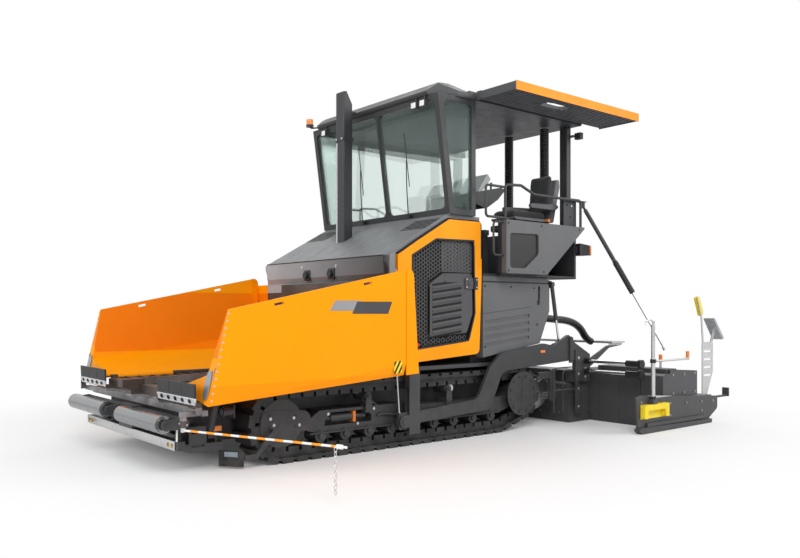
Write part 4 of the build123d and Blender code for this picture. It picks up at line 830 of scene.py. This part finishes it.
# work lamps: pale lenses; beacon on its stalk
lenses = []
for y in (-0.877, 0.859, 1.0):
    lenses.append(rawBox((0.289, y - 0.036, 3.583), (0.294, y + 0.036, 3.642), 0.002))
for s in (1, -1):
    lenses.append(rawBox((-2.304, s * 1.066, 3.567), (-2.299, s * 1.144, 3.633), 0.002))
closePiece(mergeAll(lenses), "workLampLenses", "white")
stalk = rawTube([(0.15, -1.19, 3.76), (0.17, -1.26, 3.765), (0.185, -1.33, 3.77), (0.186, -1.345, 3.8)], 0.01)
foot = rawRound((0.186, -1.345, 3.79), (0.186, -1.345, 3.818), 0.05, 24, 0.006)
closePiece(mergeAll([stalk, foot]), "beaconStalk", "black", angle=60)
dome = rawRound((0.186, -1.345, 3.818), (0.186, -1.345, 3.886), 0.046, 28, 0.012)
closePiece(dome, "beaconDome", "amber", angle=60)
print("stage: screen and lamps")

# exhaust: clamp bolts
spots = [(0.508, y, 3.4) for y in (-0.285, -0.175)]
closePiece(rawBolts(spots, (1, 0, 0), 0.009, 0.008), "exhaustClampBolts", "silver")

# extraction ducts: corrugated, from deck to canopy
ducts = {"centres": [(-1.903, 0.85), (-1.903, 0.25)], "low": 1.802, "high": 3.698, "radius": 0.052, "ridge": 0.058,
        "pitch": 0.028}
for number, (x, y) in enumerate(ducts["centres"]):
    clearSelection()
    bpy.ops.mesh.primitive_cylinder_add(vertices=28, radius=ducts["radius"], depth=ducts["pitch"],
            end_fill_type='NOTHING', location=(x, y, ducts["low"] + ducts["pitch"] / 2))
    ring = bpy.context.object
    editAll()
    bpy.ops.mesh.subdivide(number_cuts=3)
    leaveEdit()
    bpy.ops.object.transform_apply(location=False, rotation=True, scale=True)
    for vert in ring.data.vertices:
        high = abs(vert.co.z) < ducts["pitch"] * 0.3
        grow = (ducts["ridge"] if high else ducts["radius"]) / math.hypot(vert.co.x, vert.co.y)
        vert.co.x *= grow
        vert.co.y *= grow
    repeatOf(ring, (0, 0, ducts["pitch"]), int((ducts["high"] - ducts["low"]) / ducts["pitch"]), weld=True)
    closePiece(ring, "extractionDuct" + str(number + 1), "hoseGloss", "tractor", 50)
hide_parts("extraction_hoses")

# the large hose from the tractor down to the screed
route = [(-1.57, 0.9, 1.33), (-1.72, 0.9, 1.3), (-2.02, 0.9, 1.275), (-2.33, 0.9, 1.255), (-2.56, 0.9, 1.17),
        (-2.7, 0.9, 1.0), (-2.797, 0.9, 0.972)]
feed = dressPiece(rawTube(route, 0.048, sides=8), "feedHose", "hoseGloss", 60)
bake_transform(feed)
line = splinePoints(route)
print("stage: ducts and hose")

# seats: cushions as padded cloth, orange knobs
seatTrim = {"frames": 20, "pressure": 4.0, "voxel": 0.012, "cap": 0.012, "inset": 0.008}


# a padded cushion grown from its outline in X and Z
def padFrom(corners, y0, y1, name, body):
    middle = [sum(c[axis] for c in corners) / len(corners) for axis in (0, 1)]
    slim = seatTrim["inset"]
    inset = []
    for x, z in corners:
        dx, dz = middle[0] - x, middle[1] - z
        long = math.hypot(dx, dz)
        inset.append((x + dx / long * slim, z + dz / long * slim))
    pad = rawPlate(inset, "y", y0 + slim, y1 - slim, 0.018)
    shapedBy(pad, 'REMESH', mode='VOXEL', voxel_size=seatTrim["voxel"])
    start = [vert.co.copy() for vert in pad.data.vertices]
    soft = pad.modifiers.new("padding", 'CLOTH')
    soft.settings.use_pressure = True
    soft.settings.uniform_pressure_force = seatTrim["pressure"]
    soft.settings.effector_weights.gravity = 0
    soft.settings.quality = 5
    for step in range(1, seatTrim["frames"] + 1):
        scene.frame_set(step)
    bpy.ops.object.modifier_apply(modifier="padding")
    scene.frame_set(1)
    for vert, before in zip(pad.data.vertices, start):
        move = vert.co - before
        if move.length > seatTrim["cap"]:
            vert.co = before + move.normalized() * seatTrim["cap"]
    shapedBy(pad, 'SMOOTH', factor=0.6, iterations=6)
    shapedBy(pad, 'SUBSURF', levels=1)
    pad = closePiece(pad, name, "cloth", body, 80)
    return pad


seatPlace = {"baseOutline": [(-1.598, 2.486), (-0.975, 2.486), (-0.968, 2.52), (-0.99, 2.56), (-1.592, 2.56)],
        "backOutline": [(-1.607, 2.5), (-1.655, 2.53), (-1.742, 2.965), (-1.716, 3.055), (-1.664, 3.045),
        (-1.64, 2.955), (-1.612, 2.64)]}
bothWays = (("left", "Left", 1), ("right", "Right", -1))
for side, cap, sign in bothWays:
    y0, y1 = sorted((sign * 0.805, sign * 1.155))
    base = padFrom(seatPlace["baseOutline"], y0, y1, "seatPad" + cap, "seat_" + side)
    y0, y1 = sorted((sign * 0.815, sign * 1.145))
    padFrom(seatPlace["backOutline"], y0, y1, "backPad" + cap, "seat_" + side)
    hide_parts("seat_cushion_" + side)
    knob = rawRound((-1.56, sign * 1.17, 2.465), (-1.56, sign * 1.212, 2.465), 0.02, 20, 0.005)
    closePiece(knob, "seatKnob" + cap, "amber", "seat_" + side)
print("stage: seats")

# console: ribs on the tilted screen, keys and grips; the deck's handle
desk = {"low": Vector((-0.768, 0, 2.775)), "high": Vector((-0.932, 0, 2.98))}
slope = (desk["high"] - desk["low"]).normalized()
outer = Vector((slope.z, 0, -slope.x))
ribs = []
for i in range(9):
    spot = desk["low"].lerp(desk["high"], 0.08 + 0.84 * i / 8)
    rib = rawBox((-0.004, 0.5, -0.006), (0.004, 0.8, 0.006), 0.002)
    rib.rotation_euler = (0, math.atan2(slope.x, slope.z), 0)
    rib.location = spot + outer * 0.014
    settle(rib)
    ribs.append(rib)
closePiece(mergeAll(ribs), "consoleRibs", "plateLight", "console")
grips = []
for y in (0.48, 0.62):
    grips.append(rawRound((-1.005, y, 2.838), (-1.012, y, 2.89), 0.008, 12, 0.002))
    grips.append(rawRound((-1.012, y, 2.888), (-1.016, y, 2.935), 0.018, 18, 0.007))
closePiece(mergeAll(grips), "consoleGrips", "black", "console", 50)
spots = [(-0.9 + 0.045 * i, y, 2.824 - 0.011 * i) for i in range(3) for y in (0.46, 0.52, 0.58, 0.72)]
closePiece(rawBolts(spots, (0, 0, 1), 0.008, 0.006), "consoleKeys", "amber", "console")
handle = rawTube([(-0.61, 0.32, 2.33), (-0.61, 0.32, 2.6), (-0.66, 0.32, 2.7), (-0.76, 0.32, 2.72)], 0.012)
closePiece(handle, "deckHandle", "black", angle=60)
print("stage: console")

# deck: window pane, the cabinet's amber edge, bolts
bothSides(rawPlate(windowCorners, "y", 1.3755, 1.3785, 0), "deckWindowPane", "black")
edge = rawBox((-2.226, 1.18, 2.075), (-2.196, 1.3335, 2.19), 0.003)
bothSides(edge, "deckRearBoxEdge", "amber")
spots = [(x, 1.4, z) for x, z in ((-0.64, 2.36), (-1.2, 2.36), (-1.9, 2.36), (-0.64, 1.83), (-1.24, 1.83))]
sideBolts(spots, 0.008, 0.006, "deckPanelBolts", "black")

# service housing: handle, bolts
handle = rawTube([(-1.389, 1.192, 1.5), (-1.389, 1.206, 1.51), (-1.389, 1.206, 1.624), (-1.389, 1.192, 1.634)], 0.006)
bothSides(handle, "housingHandle", "black", angle=60)
spots = [(x, 1.2, z) for x, z in ((-0.47, 1.66), (-0.9, 1.655), (-1.3, 1.65), (-0.47, 0.98), (-1.36, 1.22))]
sideBolts(spots, 0.008, 0.006, "housingBolts", "black")

# tow arm: reflector, bolts, knob
tag = rawBox((-1.425, 1.26, 0.885), (-1.345, 1.265, 0.915), 0.0015)
bothSides(tag, "armReflector", "amber", "screed")
spots = [(-2.05, 1.272, z) for z in (0.2, 0.42, 0.6, 0.8)] + [(-2.2, 1.26, z) for z in (0.56, 0.66, 0.76)]
sideBolts(spots, 0.012, 0.01, "armBolts", "silver", "screed")
knob = [rawRound((-2.05, 1.272, 0.5), (-2.05, 1.315, 0.5), 0.01, 12),
        rawRound((-2.05, 1.312, 0.5), (-2.05, 1.34, 0.5), 0.026, 8, 0.008)]
bothSides(mergeAll(knob), "armKnob", "black", "screed")
print("stage: deck, housing, arms")

# screed: telescopic guides, walkway tread, bolts, valves, mast hooks, handset keys
guides = {"x": -2.2, "heights": (0.755, 0.63)}


# bars along Y at both guide heights
def guideBars(sign, inner, outer, radius, sides=24, edge=0.005):
    return [rawRound((guides["x"], sign * inner, z), (guides["x"], sign * outer, z), radius, sides, edge)
            for z in guides["heights"]]


for side, cap, sign in bothWays:
    bars = mergeAll(guideBars(sign, 1.265, 2.06, 0.02, 20, 0.002))
    closePiece(bars, "extensionGuides" + cap, "chrome", "screed", 50)
    sleeves = guideBars(sign, 1.86, 2.04, 0.038) + guideBars(sign, 2.03, 2.075, 0.052)
    sleeves += guideBars(sign, 1.266, 1.34, 0.034)
    closePiece(mergeAll(sleeves), "extensionSleeves" + cap, "black", "screed")
tread = {"x": (-3.07, -2.81), "half": 1.22, "top": 0.98, "pitch": 0.055}
base = rawBox((-0.014, -0.004, -0.001), (0.014, 0.004, 0.0035), 0.0014, 1)
base.rotation_euler = (0, 0, math.radians(45))
settle(base)
repeatOf(base, (0, tread["pitch"], 0), int(2 * tread["half"] / tread["pitch"]))
repeatOf(base, (tread["pitch"], 0, 0), 5)
base.location = (tread["x"][0] + 0.02, -tread["half"] + 0.02, tread["top"])
closePiece(base, "walkwayTread", "silver", "screed")
plate = rawBox((-3.0795, -1.2295, 0.9795), (-2.8005, 1.2295, 0.9815), 0.0008, 1)
closePiece(plate, "walkwayPlate", "silver", "screed")
spots = [(-1.95, y, z) for y in (-1.05, -0.75, -0.45, -0.15, 0.15, 0.45, 0.75, 1.05) for z in (0.11, 0.4)]
closePiece(rawBolts(spots, (1, 0, 0), 0.01, 0.008), "screedFrontBolts", "steel", "screed")
for side, cap, sign in bothWays:
    body = "extension_" + side
    spots = [(x, sign * 2.24, z) for x in (-2.58, -2.82, -3.06) for z in (0.4, 0.62)]
    closePiece(rawBolts(spots, (0, sign, 0), 0.012, 0.009), "extensionSideBolts" + cap, "steel", body)
    y = sign * 2.0
    closePiece(rawRound((-2.7, y, 0.69), (-2.7, y, 0.76), 0.014, 16), "extensionValve" + cap, "silver", body)
    grip = rawRound((-2.7, y, 0.758), (-2.7, y, 0.85), 0.022, 20, 0.008)
    closePiece(grip, "extensionValveGrip" + cap, "amber", body)
    gate = "end_gate_" + side
    spots = [(x, sign * 2.28, z) for x, z in ((-1.86, 0.35), (-2.45, 0.3), (-2.8, 0.28), (-3.15, 0.27), (-3.42, 0.26),
            (-2.45, 0.16), (-3.15, 0.16))]
    closePiece(rawBolts(spots, (0, sign, 0), 0.012, 0.01), "endGateBolts" + cap, "steel", gate)
    y = sign * 2.31
    hooks = [rawTube([(-2.05, y, 1.215), (-2.05, y, 1.262), (-1.99, y, 1.285), (-1.915, y, 1.272),
            (-1.9, y, 1.225)], 0.009),
            rawTube([(-2.05, y, 1.18), (-2.078, y, 1.225), (-2.072, y, 1.265)], 0.007)]
    closePiece(mergeAll(hooks), "mastHooks" + cap, "silver", gate, 60)
    collars = [rawRound((-2.05, y, 0.79), (-2.05, y, 0.832), 0.034, 8, 0.004),
            rawRound((-2.05, y, 0.38), (-2.05, y, 0.41), 0.034, 20, 0.004)]
    closePiece(mergeAll(collars), "mastCollars" + cap, "black", gate)
    grip = rawRound((-2.78, y, 0.822), (-2.78, y, 0.9), 0.02, 18, 0.006)
    closePiece(grip, "reachGrip" + cap, "amber", gate)
    spots = [(-3.36 + 0.018 * i, sign * 2.137, 1.38 + 0.042 * i) for i in range(4)]
    closePiece(rawBolts(spots, (0, -sign, 0), 0.007, 0.004), "handsetKeys" + cap, "black", body)
print("stage: screed")

# stay: corrugated sleeve at its lower end
stay = {"top": Vector((-2.09, 1.296, 2.69)), "foot": Vector((-2.8, 2.0, 0.905)), "from": 0.8, "to": 1.246, "rings": 26}
line = (stay["foot"] - stay["top"]).normalized()
rings = []
for i in range(stay["rings"]):
    spot = stay["top"] + line * (stay["from"] + (stay["to"] - stay["from"]) * (i + 0.5) / stay["rings"])
    clearSelection()
    bpy.ops.mesh.primitive_torus_add(major_segments=28, minor_segments=8, major_radius=0.0325, minor_radius=0.0046,
            location=spot, rotation=line.to_track_quat('Z', 'Y').to_euler())
    bpy.ops.object.transform_apply(location=True, rotation=True, scale=True)
    rings.append(bpy.context.object)
closePiece(mergeAll(rings), "staySleeve", "rubber", "stay_tube_left")
print("stage: stay")


# camera, floor and light
cameraFacts = {"place": (5.83, 7.32, 1.391), "turn": 140.36, "sensor": 36, "focalPixels": 783, "horizonRow": 310,
        "width": 800, "height": 558}
turn = (math.radians(90), 0, math.radians(cameraFacts["turn"]))
bpy.ops.object.camera_add(location=cameraFacts["place"], rotation=turn)
camera = bpy.context.object
camera.name = "photoCamera"
camera.data.sensor_width = cameraFacts["sensor"]
camera.data.lens = cameraFacts["sensor"] * cameraFacts["focalPixels"] / cameraFacts["width"]
camera.data.shift_y = (cameraFacts["horizonRow"] - cameraFacts["height"] / 2) / cameraFacts["width"]
camera.data.clip_end = 300
scene.camera = camera

clearSelection()
bpy.ops.mesh.primitive_plane_add(size=160, location=(0, 0, -0.001))
floor = bpy.context.object
floor.name = "studioFloor"
mat, tree, bsdf = startMaterial("floorPale")
fillNode(tree, bsdf, {'Base Color': (0.93, 0.93, 0.93), 'Roughness': 0.9, 'Specular IOR Level': 0.1})
# the camera sees the floor fade to white away from the machine, and its shadow near it
place = placeOn(tree)
squares = [times(tree, place[axis], place[axis]) for axis in ("x", "y")]
away = mathOn(tree, 'POWER', mathOn(tree, 'ADD', *squares), 0.5)
glow = nodeOn(tree, 'Emission', {'Strength': 1.0}).outputs['Emission']
path = tree.nodes.new('ShaderNodeLightPath')
share = times(tree, rangeOn(tree, away, 2.4, 6.0, 0.04, 1.0), path.outputs['Is Camera Ray'])
blend = nodeOn(tree, 'MixShader', {0: share, 1: bsdf.outputs['BSDF'], 2: glow})
fillNode(tree, tree.nodes["Material Output"], {'Surface': blend.outputs['Shader']})
floor.data.materials.append(mat)

lampFacts = {
    "key": ((6.0, 10.0, 9.0), 6.0, 800),
    "side": ((-8.0, 9.0, 7.0), 7.0, 420),
    "front": ((12.0, -2.0, 6.0), 7.0, 380),
    "back": ((-9.0, -8.0, 9.0), 7.0, 350),
}
for name, (place, size, power) in lampFacts.items():
    bpy.ops.object.light_add(type='AREA', location=place)
    lamp = bpy.context.object
    lamp.name = name + "Lamp"
    lamp.data.shape = 'DISK'
    lamp.data.size = size
    lamp.data.energy = power
    aim = Vector((0, 0, 1.3)) - Vector(place)
    lamp.rotation_euler = aim.to_track_quat('-Z', 'Y').to_euler()

world = bpy.data.worlds.new("studioWorld")
scene.world = world
world.use_nodes = True
tree = world.node_tree
light = fillNode(tree, tree.nodes["Background"], {'Color': (0.96, 0.97, 1.0), 'Strength': 0.5})
white = nodeOn(tree, 'Background', {'Color': (1.0, 1.0, 1.0), 'Strength': 1.0})
rays = tree.nodes.new('ShaderNodeLightPath').outputs
clear = mathOn(tree, 'MAXIMUM', rays['Is Glossy Ray'], rays['Is Transmission Ray'])
seen = mathOn(tree, 'MAXIMUM', rays['Is Camera Ray'], clear)
blend = nodeOn(tree, 'MixShader', {0: seen, 1: light.outputs['Background'], 2: white.outputs['Background']})
fillNode(tree, tree.nodes["World Output"], {'Surface': blend.outputs['Shader']})
scene.view_settings.view_transform = 'Standard'

print("stage: done")
